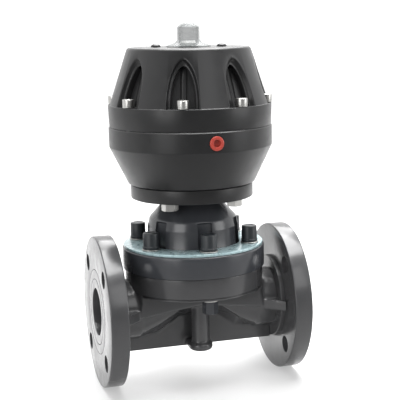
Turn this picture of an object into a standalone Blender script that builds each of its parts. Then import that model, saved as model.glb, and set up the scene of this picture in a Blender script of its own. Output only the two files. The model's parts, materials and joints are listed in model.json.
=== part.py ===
"""Flanged plastic diaphragm valve with a spring-closing pneumatic bell actuator.

The flow axis is X with the inlet at -X, and the stem axis is Z. They cross at the origin. The valve is
modelled closed. Lengths are in millimetres up to the helpers, which hand them to Blender in metres.
"""

import math

import bmesh
import bpy
from mathutils import Matrix, Vector

MM = 0.001
GAP = 0.3  # clearance between touching pieces
ROUND = 28  # steps round a large turned piece; 45 degrees is then half way between two radial edges
FINE = 16  # steps round a middling one
SMALL = 12  # steps round a screw or a cap

# Pipe ends: moulded flanges with the DN 50 PN 10 drilling
FACE_TO_FACE = 214
HALF_LENGTH = FACE_TO_FACE / 2
FLANGE_RADIUS = 80
FLANGE_THICKNESS = 19
FLANGE_BACK = HALF_LENGTH - FLANGE_THICKNESS
FLANGE_HOLE_CIRCLE = 62.5
FLANGE_HOLE_RADIUS = 9
BORE_RADIUS = 25
COLLAR_RADIUS = 45
COLLAR_BACK = FLANGE_BACK - 4

# Body
TUBE_RADIUS = 32
TUBE_BEND_X = 68  # where the flow tube starts to climb to the weir
TUBE_PEAK_Z = 27
WALL_HALF_WIDTH = 34.5  # the block between the tubes and the body's disc
BELLY_TOP = 4
RIDGE_TOP = 3  # the tubes' undersides climb to this height on a slope, and drop from there to the web
RIDGE_SLOPE = 0.73
RIDGE_DROP = 15
BODY_RADIUS = 74
BODY_TOP = 42.4
BODY_BOTTOM = 19
SEAT_RADIUS = 70
SEAT_Z = 39.6
WEIR_HALF_THICKNESS = 6
BOWL_RADIUS = 46
BOWL_BOTTOM = 17.7
BOWL_STEPS = 4  # straight stretches in the bowl's profile
DIAPHRAGM_THICKNESS = 4.4
FOOT_Z = -46.4
FOOT_SPACING = 21.5  # half the distance between the two mounting inserts
FOOT_HALF_WIDTH = 12.9
COLUMN_RADIUS = 9.8
WEB_HALF_THICKNESS = 4.5
INSERT_RADIUS = 5.4
INSERT_DEPTH = 14

# Body bolts
BODY_BOLT_CIRCLE = 61.7
BODY_BOLT_COUNT = 6
BODY_BOLT_RADIUS = 3.9
BLIND_BOLT_FOOT = 22
NUT_BOLT_FOOT = 8
THROUGH_BOLTS = (1, 4)  # these two pass the flow tube and take a nut, and the others end in the body

# Bonnet and clamp plate
BONNET_RADIUS = 76
BONNET_BOTTOM = SEAT_Z + DIAPHRAGM_THICKNESS + 2 * GAP
BONNET_SKIRT_Z = BODY_TOP + GAP
BONNET_RING_TOP = 65.6
BELL_RADIUS = 49.3
BONNET_TOP = 117.7
PLATE_TOP = 68.5
PLATE_RADIUS = 74.5
POCKET_BACK = 44.5
POCKET_WIDTH = 15.4
POCKET_TOP = 99
SPIGOT_RADIUS = 22
SPIGOT_TOP = 131
BUSH_RADIUS = 12
BUSH_BOTTOM = 110

# Actuator: its angles start from this turn of the whole head on the body
HEAD_TURN = 2.5
HEAD_RADIUS = 86
BASE_RADIUS = 64.9
BASE_BOTTOM = 118
BASE_TOP = 132.4
BASE_BOLT_CIRCLE = 50
SEAL_POCKET = 11.6
LOWER_BOTTOM = BASE_TOP + GAP
LOWER_BEND = 172.8
SEAM_Z = 193.6
LEDGE_Z = 216.5
CONE_FOOT_RADIUS = 84.2
CONE_SLOPE = 0.34  # radius lost for each unit of height
HEAD_TOP = 275
SCREW_CIRCLE = 80.5
SCREW_COUNT = 8
CHAMBER_CEILING = 262.1
PORT_Z = 182.3
TOP_PLUG_CIRCLE = 34.5

# Moving set, which rises when air enters the lower chamber
STEM_RADIUS = 8
STEM_BORE = STEM_RADIUS + GAP
STEM_FOOT = 34.3
STEM_COLLAR_Z = 146
STEM_TOP = 174
DISC_Z = 152.7
DISC_TOP = 159
DISC_RADIUS = 54
KNOB_BOTTOM = 276.2


# ---------------------------------------------------------------- scene and materials


def clear_scene():
    """Remove whatever the scene held."""
    for old in list(bpy.data.objects):
        bpy.data.objects.remove(old)


def new_collection(name):
    """Make a collection in the scene."""
    made = bpy.data.collections.new(name)
    bpy.context.scene.collection.children.link(made)
    return made


def new_material(name, colour, roughness, metallic=0.0):
    """Make a Principled material with one colour."""
    made = bpy.data.materials.new(name)
    made.use_nodes = True
    shader = made.node_tree.nodes["Principled BSDF"]
    shader.inputs["Base Color"].default_value = (*colour, 1)
    shader.inputs["Roughness"].default_value = roughness
    shader.inputs["Metallic"].default_value = metallic
    made.diffuse_color = (*colour, 1)
    return made


clear_scene()
PARTS = new_collection("diaphragm_valve")
CUTTERS = new_collection("cutters")

PVC_GREY = new_material("pvc_grey", (0.075, 0.08, 0.085), 0.3)
BONNET_GREY = new_material("bonnet_grey", (0.04, 0.045, 0.05), 0.28)
BLACK_PLASTIC = new_material("black_plastic", (0.03, 0.03, 0.03), 0.42)
CAP_BLACK = new_material("cap_black", (0.035, 0.04, 0.045), 0.5)
COATED_STEEL = new_material("coated_steel", (0.3, 0.42, 0.44), 0.35, 0.3)
STAINLESS = new_material("stainless", (0.62, 0.62, 0.6), 0.25, 1.0)
SPRING_STEEL = new_material("spring_steel", (0.35, 0.35, 0.36), 0.35, 1.0)
BRASS = new_material("brass", (0.7, 0.52, 0.22), 0.3, 1.0)
RUBBER = new_material("rubber", (0.015, 0.015, 0.015), 0.75)
RED_PLASTIC = new_material("red_plastic", (0.6, 0.05, 0.035), 0.35)
CLEAR_PLASTIC = new_material("clear_plastic", (0.85, 0.86, 0.86), 0.12)
WHITE_PLASTIC = new_material("white_plastic", (0.8, 0.8, 0.78), 0.4)


# ---------------------------------------------------------------- helpers


def add(name, mesh, material=None):
    """Put a mesh in the scene, as a part if it has a material and as a hidden cutter if not."""
    obj = bpy.data.objects.new(name, mesh)
    if material:
        mesh.materials.append(material)
        PARTS.objects.link(obj)
    else:
        CUTTERS.objects.link(obj)
        obj.hide_render = True
        obj.display_type = "WIRE"
    return obj


def scaled(points):
    """Turn (radius, height) pairs in millimetres into vertices of a profile in the XZ plane."""
    return [(radius * MM, 0, height * MM) for radius, height in points]


def turned(name, profile, material=None, steps=ROUND, ring=False):
    """Turn a profile of (radius, height) pairs round Z. It runs down its outer side, and a ring closes."""
    count = len(profile)
    edges = [(i, i + 1) for i in range(count - 1)]
    if ring:
        edges.append((count - 1, 0))
    mesh = bpy.data.meshes.new(name)
    mesh.from_pydata(scaled(profile), edges, [])
    obj = add(name, mesh, material)
    screw = obj.modifiers.new("Turn", "SCREW")
    screw.steps = steps
    screw.render_steps = steps
    screw.use_merge_vertices = True
    screw.merge_threshold = 0.00001
    return obj


def arc(centre, radius, start, end, steps):
    """Points on an arc in the profile plane, from one angle in degrees to another."""
    points = []
    for i in range(steps + 1):
        angle = math.radians(start + (end - start) * i / steps)
        points.append((centre[0] + radius * math.cos(angle), centre[1] + radius * math.sin(angle)))
    return points


def cylinder(name, radius, bottom, top, material=None, steps=FINE):
    """A plain upright cylinder on Z."""
    return turned(name, [(0, top), (radius, top), (radius, bottom), (0, bottom)], material, steps)


def cone_mesh(name, radius, length, steps):
    """A cylinder mesh centred on its own origin, for bolts' hexagons and cross bores."""
    shape = bmesh.new()
    bmesh.ops.create_cone(
        shape,
        cap_ends=True,
        segments=steps,
        radius1=radius * MM,
        radius2=radius * MM,
        depth=length * MM,
    )
    mesh = bpy.data.meshes.new(name)
    shape.to_mesh(mesh)
    shape.free()
    return mesh


def hexagon(name, across_flats, bottom, top):
    """A hexagonal prism on Z, as an operand."""
    corner_radius = across_flats / 2 / math.cos(math.radians(30))
    obj = add(name, cone_mesh(name, corner_radius, top - bottom, 6))
    obj.location.z = (bottom + top) / 2 * MM
    return obj


def box(name, low, high):
    """A box between two corners, as an operand."""
    shape = bmesh.new()
    bmesh.ops.create_cube(shape, size=1)
    size = [(b - a) * MM for a, b in zip(low, high)]
    bmesh.ops.scale(shape, vec=size, verts=shape.verts)
    mesh = bpy.data.meshes.new(name)
    shape.to_mesh(mesh)
    shape.free()
    obj = add(name, mesh)
    obj.location = [(a + b) / 2 * MM for a, b in zip(low, high)]
    return obj


def at_angle(obj, radius, angle, height=0):
    """Place an object round Z. Angle 0 is towards -Y and grows towards +X."""
    turn = math.radians(angle)
    obj.location = (radius * math.sin(turn) * MM, -radius * math.cos(turn) * MM, height * MM)
    obj.rotation_euler.z = turn
    return obj


def boolean(obj, other, operation="DIFFERENCE"):
    """Join or cut one object with another."""
    modifier = obj.modifiers.new(other.name, "BOOLEAN")
    modifier.operation = operation
    modifier.solver = "EXACT"
    modifier.object = other


def bevel(obj, width, segments=2, angle=50):
    """Round the edges that are sharper than an angle in degrees."""
    modifier = obj.modifiers.new("Bevel", "BEVEL")
    modifier.width = width * MM
    modifier.segments = segments
    modifier.limit_method = "ANGLE"
    modifier.angle_limit = math.radians(angle)


def evaluated_mesh(obj):
    """A mesh with the object's modifiers in it and its loose ends welded."""
    graph = bpy.context.evaluated_depsgraph_get()
    mesh = bpy.data.meshes.new_from_object(obj.evaluated_get(graph))
    shape = bmesh.new()
    shape.from_mesh(mesh)
    bmesh.ops.remove_doubles(shape, verts=shape.verts, dist=0.000001)
    shape.to_mesh(mesh)
    shape.free()
    return mesh


def bake(obj):
    """Replace an object's mesh with its evaluated one and put its placement into the mesh."""
    bpy.context.view_layer.update()
    mesh = evaluated_mesh(obj)
    mesh.transform(obj.matrix_world)
    obj.modifiers.clear()
    obj.data = mesh
    obj.matrix_world = Matrix.Identity(4)


def path_tube(name, points, radius, resolution, material=None):
    """A round tube along a path of points, as a mesh."""
    curve = bpy.data.curves.new(name, "CURVE")
    curve.dimensions = "3D"
    curve.bevel_depth = radius * MM
    curve.bevel_resolution = resolution
    curve.use_fill_caps = True
    spline = curve.splines.new("POLY")
    spline.points.add(len(points) - 1)
    for target, point in zip(spline.points, points):
        target.co = (*(value * MM for value in point), 1)
    wire = bpy.data.objects.new(name, curve)
    CUTTERS.objects.link(wire)
    bpy.context.view_layer.update()
    mesh = evaluated_mesh(wire)
    bpy.data.objects.remove(wire)
    return add(name, mesh, material)


def slab(name, outline, bottom, top):
    """A flat plate with a drawn outline, as an operand."""
    curve = bpy.data.curves.new(name, "CURVE")
    curve.dimensions = "2D"
    curve.fill_mode = "BOTH"
    curve.extrude = (top - bottom) / 2 * MM
    spline = curve.splines.new("POLY")
    spline.use_cyclic_u = True
    spline.points.add(len(outline) - 1)
    for target, (x, y) in zip(spline.points, outline):
        target.co = (x * MM, y * MM, 0, 1)
    flat = bpy.data.objects.new(name, curve)
    CUTTERS.objects.link(flat)
    bpy.context.view_layer.update()
    mesh = evaluated_mesh(flat)
    bpy.data.objects.remove(flat)
    obj = add(name, mesh)
    obj.location.z = (bottom + top) / 2 * MM
    return obj


def trim(obj, point, normal):
    """Cut a mesh flat and drop what lies on the normal's side."""
    shape = bmesh.new()
    shape.from_mesh(obj.data)
    everything = shape.verts[:] + shape.edges[:] + shape.faces[:]
    place = Vector(point) * MM
    bmesh.ops.bisect_plane(shape, geom=everything, plane_co=place, plane_no=normal, clear_outer=True)
    open_edges = [edge for edge in shape.edges if edge.is_boundary]
    bmesh.ops.holes_fill(shape, edges=open_edges)
    bmesh.ops.triangulate(shape, faces=shape.faces)
    bmesh.ops.recalc_face_normals(shape, faces=shape.faces)
    shape.to_mesh(obj.data)
    shape.free()


def holes(obj, radius, bottom, top, circle, angles, steps=SMALL):
    """Drill upright holes on a circle, with one cutter for all of them."""
    shape = bmesh.new()
    for angle in angles:
        turn = math.radians(angle)
        place = Vector((circle * math.sin(turn), -circle * math.cos(turn), (bottom + top) / 2)) * MM
        bmesh.ops.create_cone(
            shape,
            cap_ends=True,
            segments=steps,
            radius1=radius * MM,
            radius2=radius * MM,
            depth=(top - bottom) * MM,
            matrix=Matrix.Translation(place),
        )
    mesh = bpy.data.meshes.new(obj.name + "_holes")
    shape.to_mesh(mesh)
    shape.free()
    cutter = add(obj.name + "_holes", mesh)
    boolean(obj, cutter)
    return cutter


def ring_angles(count, start=0.0):
    """Evenly spaced angles in degrees."""
    return [start + 360 * i / count for i in range(count)]


def torus(name, major, minor, height, material):
    """An O-ring on Z."""
    section = arc((major, height), minor, 90, -270, 6)[:-1]
    return turned(name, section, material, FINE, ring=True)


def copies(first, count, circle, angles):
    """Place a piece and its numbered copies round Z, all sharing one mesh."""
    mesh = evaluated_mesh(first)
    stem, material = first.name, first.data.materials[0]
    bpy.data.objects.remove(first)
    for number, angle in zip(range(1, count + 1), angles):
        obj = bpy.data.objects.new(f"{stem}_{number}", mesh)
        PARTS.objects.link(obj)
        at_angle(obj, circle, angle)
    if not mesh.materials:
        mesh.materials.append(material)


BODY_BOLT_ANGLES = ring_angles(BODY_BOLT_COUNT)
SCREW_ANGLES = ring_angles(SCREW_COUNT, HEAD_TURN + 22.5)
BASE_BOLT_ANGLES = ring_angles(4, HEAD_TURN + 45)
TOP_PLUG_ANGLES = ring_angles(2, HEAD_TURN + 67.5)


def bowl(radius, lift=0.0):
    """Height of the saddle that the diaphragm closes on, at a distance from the stem axis."""
    return BOWL_BOTTOM + lift + (SEAT_Z - BOWL_BOTTOM) * (radius / BOWL_RADIUS) ** 2


def bowl_profile(steps, lift):
    """Points of the bowl from a number of equal steps out from the axis in to the axis."""
    step = BOWL_RADIUS / BOWL_STEPS
    return [(i * step, bowl(i * step, lift)) for i in range(steps, -1, -1)]


# ---------------------------------------------------------------- valve body and pipe ends


def end_spigot(side):
    """The collar at a pipe end, and the level tube behind it."""
    tube, inner_end = TUBE_RADIUS, TUBE_BEND_X - 4
    profile = [
        (0, HALF_LENGTH),
        (COLLAR_RADIUS - GAP, HALF_LENGTH),
        (COLLAR_RADIUS - GAP, COLLAR_BACK),
        (tube, COLLAR_BACK),
        (tube, inner_end),
        (0, inner_end),
    ]
    obj = turned(f"end_spigot_{side:+d}", profile)
    obj.rotation_euler.y = math.radians(90 * side)
    return obj


def flow_path(reach, peak_x=0.0):
    """Centre line of the passage: level at the ends, climbing to the weir."""
    rise = TUBE_PEAK_Z * (1 - peak_x / TUBE_BEND_X)
    return [(-reach, 0, 0), (-TUBE_BEND_X, 0, 0), (-peak_x, 0, rise)]


def wall_block():
    """The block that joins the tubes to the body's disc. Its ends are flush with the disc."""
    radius = BODY_RADIUS - 0.6
    corner = math.degrees(math.asin(WALL_HALF_WIDTH / radius))
    right = arc((0, 0), radius, -corner, corner, 4)
    left = arc((0, 0), radius, 180 - corner, 180 + corner, 4)
    return slab("wall_block", right + left, -2, BODY_BOTTOM + 2)


def belly_section(distance):
    """Half a section under the block, from the flank in to the web, as (y, z) pairs."""
    radius, web_edge = TUBE_RADIUS - 0.4, WEB_HALF_THICKNESS + 2
    climb = RIDGE_SLOPE * (TUBE_BEND_X - distance)
    lowest = -math.sqrt(radius**2 - web_edge**2)
    ridge = min(RIDGE_TOP, max(lowest, climb - radius))
    top, end = math.asin(BELLY_TOP / radius), math.asin(ridge / radius)
    angles = [top + (end - top) * i / 4 for i in range(5)]
    points = [(-radius * math.cos(angle), radius * math.sin(angle)) for angle in angles]
    edge_y, edge_z = points[-1]
    drop = RIDGE_DROP * min(1, climb / 18)
    for share in (1 / 3, 2 / 3, 1):
        y = edge_y + (-WEB_HALF_THICKNESS + 0.5 - edge_y) * share
        points.append((y, edge_z - drop * share**1.2))
    return points


def belly():
    """The undersides of both tubes, from one level tube up over the middle and down to the other."""
    shape = bmesh.new()
    rings = []
    for x in (-70, -68, -61, -54, -44, -34, -24, -18, 0, 18, 24, 34, 44, 54, 61, 68, 70):
        half = belly_section(min(abs(x), TUBE_BEND_X))
        outline = half + [(-y, z) for y, z in reversed(half)]
        rings.append([shape.verts.new((x * MM, y * MM, z * MM)) for y, z in outline])
    for near, far in zip(rings, rings[1:]):
        for i in range(len(near)):
            j = (i + 1) % len(near)
            shape.faces.new((near[i], near[j], far[j], far[i]))
    shape.faces.new(rings[0])
    shape.faces.new(rings[-1])
    bmesh.ops.triangulate(shape, faces=shape.faces)
    bmesh.ops.recalc_face_normals(shape, faces=shape.faces)
    mesh = bpy.data.meshes.new("belly")
    shape.to_mesh(mesh)
    shape.free()
    return add("belly", mesh)


def passage(side):
    """The bore from one pipe end up to the weir's flank."""
    points = flow_path(HALF_LENGTH + 2)[:2] + flow_path(HALF_LENGTH, -4)[2:]
    points = [(-side * x, y, z) for x, y, z in points]
    obj = path_tube(f"passage_{side:+d}", points, BORE_RADIUS, 6)
    trim(obj, (side * WEIR_HALF_THICKNESS, 0, 0), (-side, 0, 0))
    return obj


def foot_bar():
    """The mounting foot: a bar with round ends across the web."""
    front = arc((0, -FOOT_SPACING), FOOT_HALF_WIDTH, 180, 360, 7)
    rear = arc((0, FOOT_SPACING), FOOT_HALF_WIDTH, 0, 180, 7)
    obj = slab("foot_bar", front + rear, FOOT_Z, FOOT_Z + 9)
    bevel(obj, 5, 1)
    return obj


def gusset(side, front):
    """A level rib between the tube and the back of a flange."""
    outline = [(56, 20), (65, 31), (FLANGE_BACK - GAP, 52), (FLANGE_BACK - GAP, 30), (80, 20)]
    placed = [(side * x, front * y) for x, y in outline]
    if side * front > 0:
        placed.reverse()
    return slab(f"gusset_{side:+d}{front:+d}", placed, -6, 4.5)


def valve_body():
    """Body with the diaphragm seat, the weir, both tubes, the web and the mounting foot."""
    profile = [
        (0, SEAT_Z),
        (SEAT_RADIUS, SEAT_Z),
        (SEAT_RADIUS, BODY_TOP),
        (BODY_RADIUS, BODY_TOP),
        (BODY_RADIUS, BODY_BOTTOM + 3),
        (BODY_RADIUS - 1, BODY_BOTTOM + 2),
        (BODY_RADIUS - 1, BODY_BOTTOM),
        (0, BODY_BOTTOM),
    ]
    body = turned("valve_body", profile, PVC_GREY)
    added = [wall_block(), belly(), foot_bar()]
    added.append(
        box(
            "web",
            (-COLLAR_BACK + GAP, -WEB_HALF_THICKNESS, FOOT_Z),
            (COLLAR_BACK - GAP, WEB_HALF_THICKNESS, 0),
        )
    )
    for side in (-1, 1):
        added.append(end_spigot(side))
        added.append(gusset(side, -1))
        added.append(gusset(side, 1))
        column = cylinder(f"column_{side:+d}", COLUMN_RADIUS, FOOT_Z + 4, BODY_BOTTOM + 2)
        column.location.y = side * FOOT_SPACING * MM
        added.append(column)
    for other in added:
        boolean(body, other, "UNION")
    boolean(body, passage(-1))
    boolean(body, passage(1))
    hollow = [(0, SEAT_Z + 20), (BOWL_RADIUS, SEAT_Z + 20)] + bowl_profile(BOWL_STEPS, 0)
    boolean(body, turned("bowl", hollow, steps=ROUND))
    through = [BODY_BOLT_ANGLES[number - 1] for number in THROUGH_BOLTS]
    blind = [angle for angle in BODY_BOLT_ANGLES if angle not in through]
    holes(body, BODY_BOLT_RADIUS + GAP, 0, BODY_TOP + 2, BODY_BOLT_CIRCLE, through)
    holes(body, BODY_BOLT_RADIUS + GAP, 21, BODY_TOP + 2, BODY_BOLT_CIRCLE, blind)
    holes(body, INSERT_RADIUS + GAP, FOOT_Z - 2, FOOT_Z + INSERT_DEPTH + GAP, FOOT_SPACING, (0, 180))


def pipe_flange(name, side):
    """A flange ring on the collar, with four bolt holes between the axes."""
    edge = 0.8
    face, back = HALF_LENGTH, FLANGE_BACK
    profile = [
        (COLLAR_RADIUS, face),
        (FLANGE_RADIUS - edge, face),
        (FLANGE_RADIUS, face - edge),
        (FLANGE_RADIUS, back),
        (COLLAR_RADIUS, back),
    ]
    flange = turned(name, profile, PVC_GREY, ring=True)
    angles = ring_angles(4, 45)
    cutter = holes(flange, FLANGE_HOLE_RADIUS, back - 2, face + 2, FLANGE_HOLE_CIRCLE, angles, FINE)
    for obj in (flange, cutter):
        obj.rotation_euler.y = math.radians(90 * side)


def foot_inserts():
    """Two brass threaded inserts that open at the foot."""
    thread = 3.3
    top = FOOT_Z + INSERT_DEPTH
    profile = [(thread, top), (INSERT_RADIUS, top), (INSERT_RADIUS, FOOT_Z), (thread, FOOT_Z)]
    copies(turned("foot_insert", profile, BRASS, SMALL, ring=True), 2, FOOT_SPACING, (0, 180))


# ---------------------------------------------------------------- diaphragm, stem and bonnet


def valve_diaphragm():
    """Rubber diaphragm, pressed down on the weir."""
    bottom = SEAT_Z + GAP
    top = bottom + DIAPHRAGM_THICKNESS
    rim = SEAT_RADIUS - 1
    upper = bowl_profile(BOWL_STEPS, GAP + DIAPHRAGM_THICKNESS)
    lower = bowl_profile(BOWL_STEPS, GAP)
    profile = upper[::-1] + [(rim, top), (rim, bottom)] + lower
    diaphragm = turned("valve_diaphragm", profile, RUBBER)
    holes(diaphragm, 5, bottom - 5, top + 5, BODY_BOLT_CIRCLE, BODY_BOLT_ANGLES)


def compressor():
    """Pressure piece under the stem, shaped to the diaphragm."""
    top, hub, hub_top = 42, 13, 50
    outer = BOWL_RADIUS * (1 - 1 / BOWL_STEPS)
    profile = [
        (0, STEM_FOOT - GAP),
        (STEM_BORE, STEM_FOOT - GAP),
        (STEM_BORE, hub_top),
        (hub, hub_top),
        (hub, top),
        (outer, top),
    ]
    profile += bowl_profile(BOWL_STEPS - 1, DIAPHRAGM_THICKNESS + 2 * GAP)
    turned("compressor", profile, PVC_GREY)


def stem():
    """Stainless spindle from the compressor to the actuator's disc."""
    collar = STEM_RADIUS + 4
    profile = [
        (0, STEM_TOP),
        (STEM_RADIUS - 0.8, STEM_TOP),
        (STEM_RADIUS, STEM_TOP - 0.8),
        (STEM_RADIUS, STEM_COLLAR_Z + 3.4),
        (collar, STEM_COLLAR_Z + 3.4),
        (collar, STEM_COLLAR_Z),
        (STEM_RADIUS, STEM_COLLAR_Z),
        (STEM_RADIUS, STEM_FOOT),
        (0, STEM_FOOT),
    ]
    turned("stem", profile, STAINLESS, FINE)


def stem_guides():
    """Guide bush at the top of the bonnet, and the O-rings of bonnet and actuator."""
    top, outer = SPIGOT_TOP - GAP, BUSH_RADIUS - GAP
    profile = [(STEM_BORE, top), (outer, top), (outer, BUSH_BOTTOM), (STEM_BORE, BUSH_BOTTOM)]
    turned("stem_bush", profile, BRASS, FINE, ring=True)
    torus("stem_seal", STEM_BORE + 1.4, 1.4, BUSH_BOTTOM - 2, RUBBER)
    torus("actuator_seal", STEM_BORE + 1.4, 1.4, 142.6, RUBBER)


def bonnet():
    """Bell between the actuator and the body, with a pocket beside each body bolt."""
    ring_edge = arc((BONNET_RADIUS - 2, BONNET_RING_TOP - 2), 2, 90, 0, 1)
    shoulder = arc((BELL_RADIUS - 9, 89.5), 9, 40, 0, 2)
    outside = [(BUSH_RADIUS, SPIGOT_TOP), (SPIGOT_RADIUS, SPIGOT_TOP), (SPIGOT_RADIUS, BONNET_TOP)]
    outside += [(27, BONNET_TOP)] + shoulder
    outside += [(BELL_RADIUS + 0.3, BONNET_RING_TOP)]
    outside += ring_edge
    outside += [(BONNET_RADIUS, BONNET_SKIRT_Z), (SEAT_RADIUS, BONNET_SKIRT_Z), (SEAT_RADIUS, BONNET_BOTTOM)]
    inside = [(BOWL_RADIUS, BONNET_BOTTOM), (40.3, 51), (40.3, 84), (STEM_BORE + GAP, 84)]
    inside += [(STEM_BORE + GAP, BUSH_BOTTOM - 4), (BUSH_RADIUS, BUSH_BOTTOM - 4)]
    bell = turned("bonnet", outside + inside, BONNET_GREY, ring=True)
    front, width, height = BELL_RADIUS + 4, POCKET_WIDTH / 2, POCKET_TOP - BONNET_RING_TOP - GAP
    depth = front - POCKET_BACK
    for angle in BODY_BOLT_ANGLES:
        pocket = box(f"pocket_{angle:.0f}", (-width, -depth / 2, -height / 2), (width, depth / 2, height / 2))
        at_angle(pocket, POCKET_BACK + depth / 2, angle, POCKET_TOP - height / 2)
        boolean(bell, pocket)
    holes(bell, BODY_BOLT_RADIUS + GAP, 40, 70, BODY_BOLT_CIRCLE, BODY_BOLT_ANGLES)


def clamp_plate():
    """Coated steel ring that spreads the body bolts' load over the bonnet flange."""
    bottom, inner = BONNET_RING_TOP + GAP, BELL_RADIUS + 0.7
    profile = [(inner, PLATE_TOP), (PLATE_RADIUS, PLATE_TOP), (PLATE_RADIUS, bottom), (inner, bottom)]
    plate = turned("clamp_plate", profile, COATED_STEEL, ring=True)
    holes(plate, BODY_BOLT_RADIUS + GAP, 60, 75, BODY_BOLT_CIRCLE, BODY_BOLT_ANGLES)


def body_bolt(number, foot):
    """A body bolt with its washer face and hexagon head."""
    seat = PLATE_TOP + GAP
    washer = 9.4
    profile = [
        (0, seat + 1.4),
        (washer, seat + 1.4),
        (washer, seat),
        (BODY_BOLT_RADIUS, seat),
        (BODY_BOLT_RADIUS, foot),
        (0, foot),
    ]
    bolt = turned(f"body_bolt_{number}", profile, STAINLESS, SMALL)
    at_angle(bolt, BODY_BOLT_CIRCLE, BODY_BOLT_ANGLES[number - 1])
    head = hexagon(f"bolt_head_{number}", 12, seat + 1, seat + 7)
    at_angle(head, BODY_BOLT_CIRCLE, BODY_BOLT_ANGLES[number - 1], seat + 4)
    boolean(bolt, head, "UNION")


def bolt_caps():
    """Black push-on caps over the bolt heads."""
    bottom, top, inside = PLATE_TOP + 2, 87, 7.3
    profile = [(0, top), (7.4, top), (8, top - 0.6), (8.2, bottom + 2.4), (8.6, bottom + 1.8), (8.6, bottom)]
    profile += [(inside, bottom), (inside, bottom + 6.5), (0, bottom + 6.5)]
    copies(turned("bolt_cap", profile, CAP_BLACK, SMALL), BODY_BOLT_COUNT, BODY_BOLT_CIRCLE, BODY_BOLT_ANGLES)


def body_nuts():
    """Washers and long nuts under the body, for the two bolts beside the flow tube."""
    bore = BODY_BOLT_RADIUS + GAP
    top = BODY_BOTTOM - GAP
    angles = [BODY_BOLT_ANGLES[number - 1] for number in THROUGH_BOLTS]
    washer = [(bore, top), (8.6, top), (8.6, top - 1.6), (bore, top - 1.6)]
    copies(turned("nut_washer", washer, STAINLESS, SMALL, ring=True), 2, BODY_BOLT_CIRCLE, angles)
    nut_top = top - 1.6 - GAP
    nut_bottom = nut_top - 13.2
    nut = add("body_nut", cone_mesh("body_nut", 7.7, nut_top - nut_bottom, 6), BONNET_GREY)
    nut.location.z = (nut_top + nut_bottom) / 2 * MM
    nut.rotation_euler.z = math.radians(12)
    bake(nut)
    boolean(nut, cylinder("nut_bore", bore, nut_bottom + 3, nut_top + 2, steps=SMALL))
    copies(nut, 2, BODY_BOLT_CIRCLE, angles)


# ---------------------------------------------------------------- actuator


def actuator_base():
    """Disc that the actuator stands on, screwed to the bonnet's spigot."""
    edge, inner = 1, SPIGOT_RADIUS + GAP
    profile = [
        (inner, BASE_TOP),
        (BASE_RADIUS, BASE_TOP),
        (BASE_RADIUS, BASE_BOTTOM + edge),
        (BASE_RADIUS - edge, BASE_BOTTOM),
        (inner, BASE_BOTTOM),
    ]
    base = turned("actuator_base", profile, BLACK_PLASTIC, ring=True)
    holes(base, 5.5, BASE_BOTTOM - 2, BASE_TOP + 2, BASE_BOLT_CIRCLE, BASE_BOLT_ANGLES)


def base_bolts():
    """Four hexagon bolts that hold the actuator from below."""
    seat, head, across_flats = BASE_BOTTOM - GAP, 8.2, 15
    bolt = cylinder("base_bolt", 4.9, seat - 1, 141, STAINLESS, SMALL)
    boolean(bolt, hexagon("base_bolt_head", across_flats, seat - head, seat), "UNION")
    copies(bolt, 4, BASE_BOLT_CIRCLE, BASE_BOLT_ANGLES)


def lower_housing():
    """Air chamber: a band, a cone below it and the clamping rim for the actuator diaphragm."""
    rim, rim_floor = 84.6, SEAM_Z - 2.2
    outside = [
        (rim, SEAM_Z),
        (HEAD_RADIUS - 0.7, SEAM_Z),
        (HEAD_RADIUS, SEAM_Z - 0.7),
        (HEAD_RADIUS, LOWER_BEND),
        (66.6, LOWER_BOTTOM),
    ]
    bore = [(STEM_BORE + GAP, LOWER_BOTTOM), (STEM_BORE + GAP, 141), (SEAL_POCKET, 141)]
    inside = [(SEAL_POCKET, 143), (56, 143), (66, 150), (74, 173)]
    inside += [(74, rim_floor), (rim, rim_floor)]
    housing = turned("lower_housing", outside + bore + inside, BLACK_PLASTIC, ring=True)
    holes(housing, 3.3, 177, SEAM_Z + 2, SCREW_CIRCLE, SCREW_ANGLES)
    holes(housing, 5.5, LOWER_BOTTOM - 2, 141.5, BASE_BOLT_CIRCLE, BASE_BOLT_ANGLES)
    for name, radius, near, far in (("port_bore", 3.7, 66, 92), ("port_seat", 7.7, 80, 92)):
        cutter = add(name, cone_mesh(name, radius, far - near, FINE))
        at_angle(cutter, (near + far) / 2, HEAD_TURN, PORT_Z)
        cutter.rotation_euler.x = math.radians(90)
        boolean(housing, cutter)


def port_plug():
    """Red plug in the air port, with a blind recess in its face. Its own axis points outwards."""
    recess, outer, shank = 3.7, 7.4, 3.4
    seat, front = 80.3, HEAD_RADIUS + 0.9
    profile = [
        (0, front - 4.5),
        (recess, front - 4.5),
        (recess + 0.4, front),
        (outer - 0.5, front),
        (outer, front - 0.5),
        (outer, seat),
        (shank, seat),
        (shank, 76),
        (0, 76),
    ]
    plug = turned("port_plug", profile, RED_PLASTIC, FINE)
    plug.rotation_euler = (math.radians(90), 0, math.radians(HEAD_TURN))
    plug.location.z = PORT_Z * MM


def cone_radius(height):
    """Outer radius of the bell above the ledge."""
    return CONE_FOOT_RADIUS - CONE_SLOPE * (height - LEDGE_Z)


def arch(half_width, peak, steps=4):
    """Half of a pointed arch standing on the ledge: (offset, height) pairs up to its peak."""
    rise = peak - LEDGE_Z
    points = [(half_width, LEDGE_Z)]
    for i in range(1, steps + 1):
        share = i / steps
        points.append((half_width * (1 - share**2.4), LEDGE_Z + rise * math.sin(share * math.pi / 2)))
    return points


def window_layer(shape, half_width, peak, depth):
    """One ring of the window cutter's vertices, at a depth behind the cone's surface."""
    right = arch(half_width, peak)
    outline = right + [(-x, z) for x, z in reversed(right[:-1])]
    return [shape.verts.new((x * MM, -(cone_radius(z) - depth) * MM, z * MM)) for x, z in outline]


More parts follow.
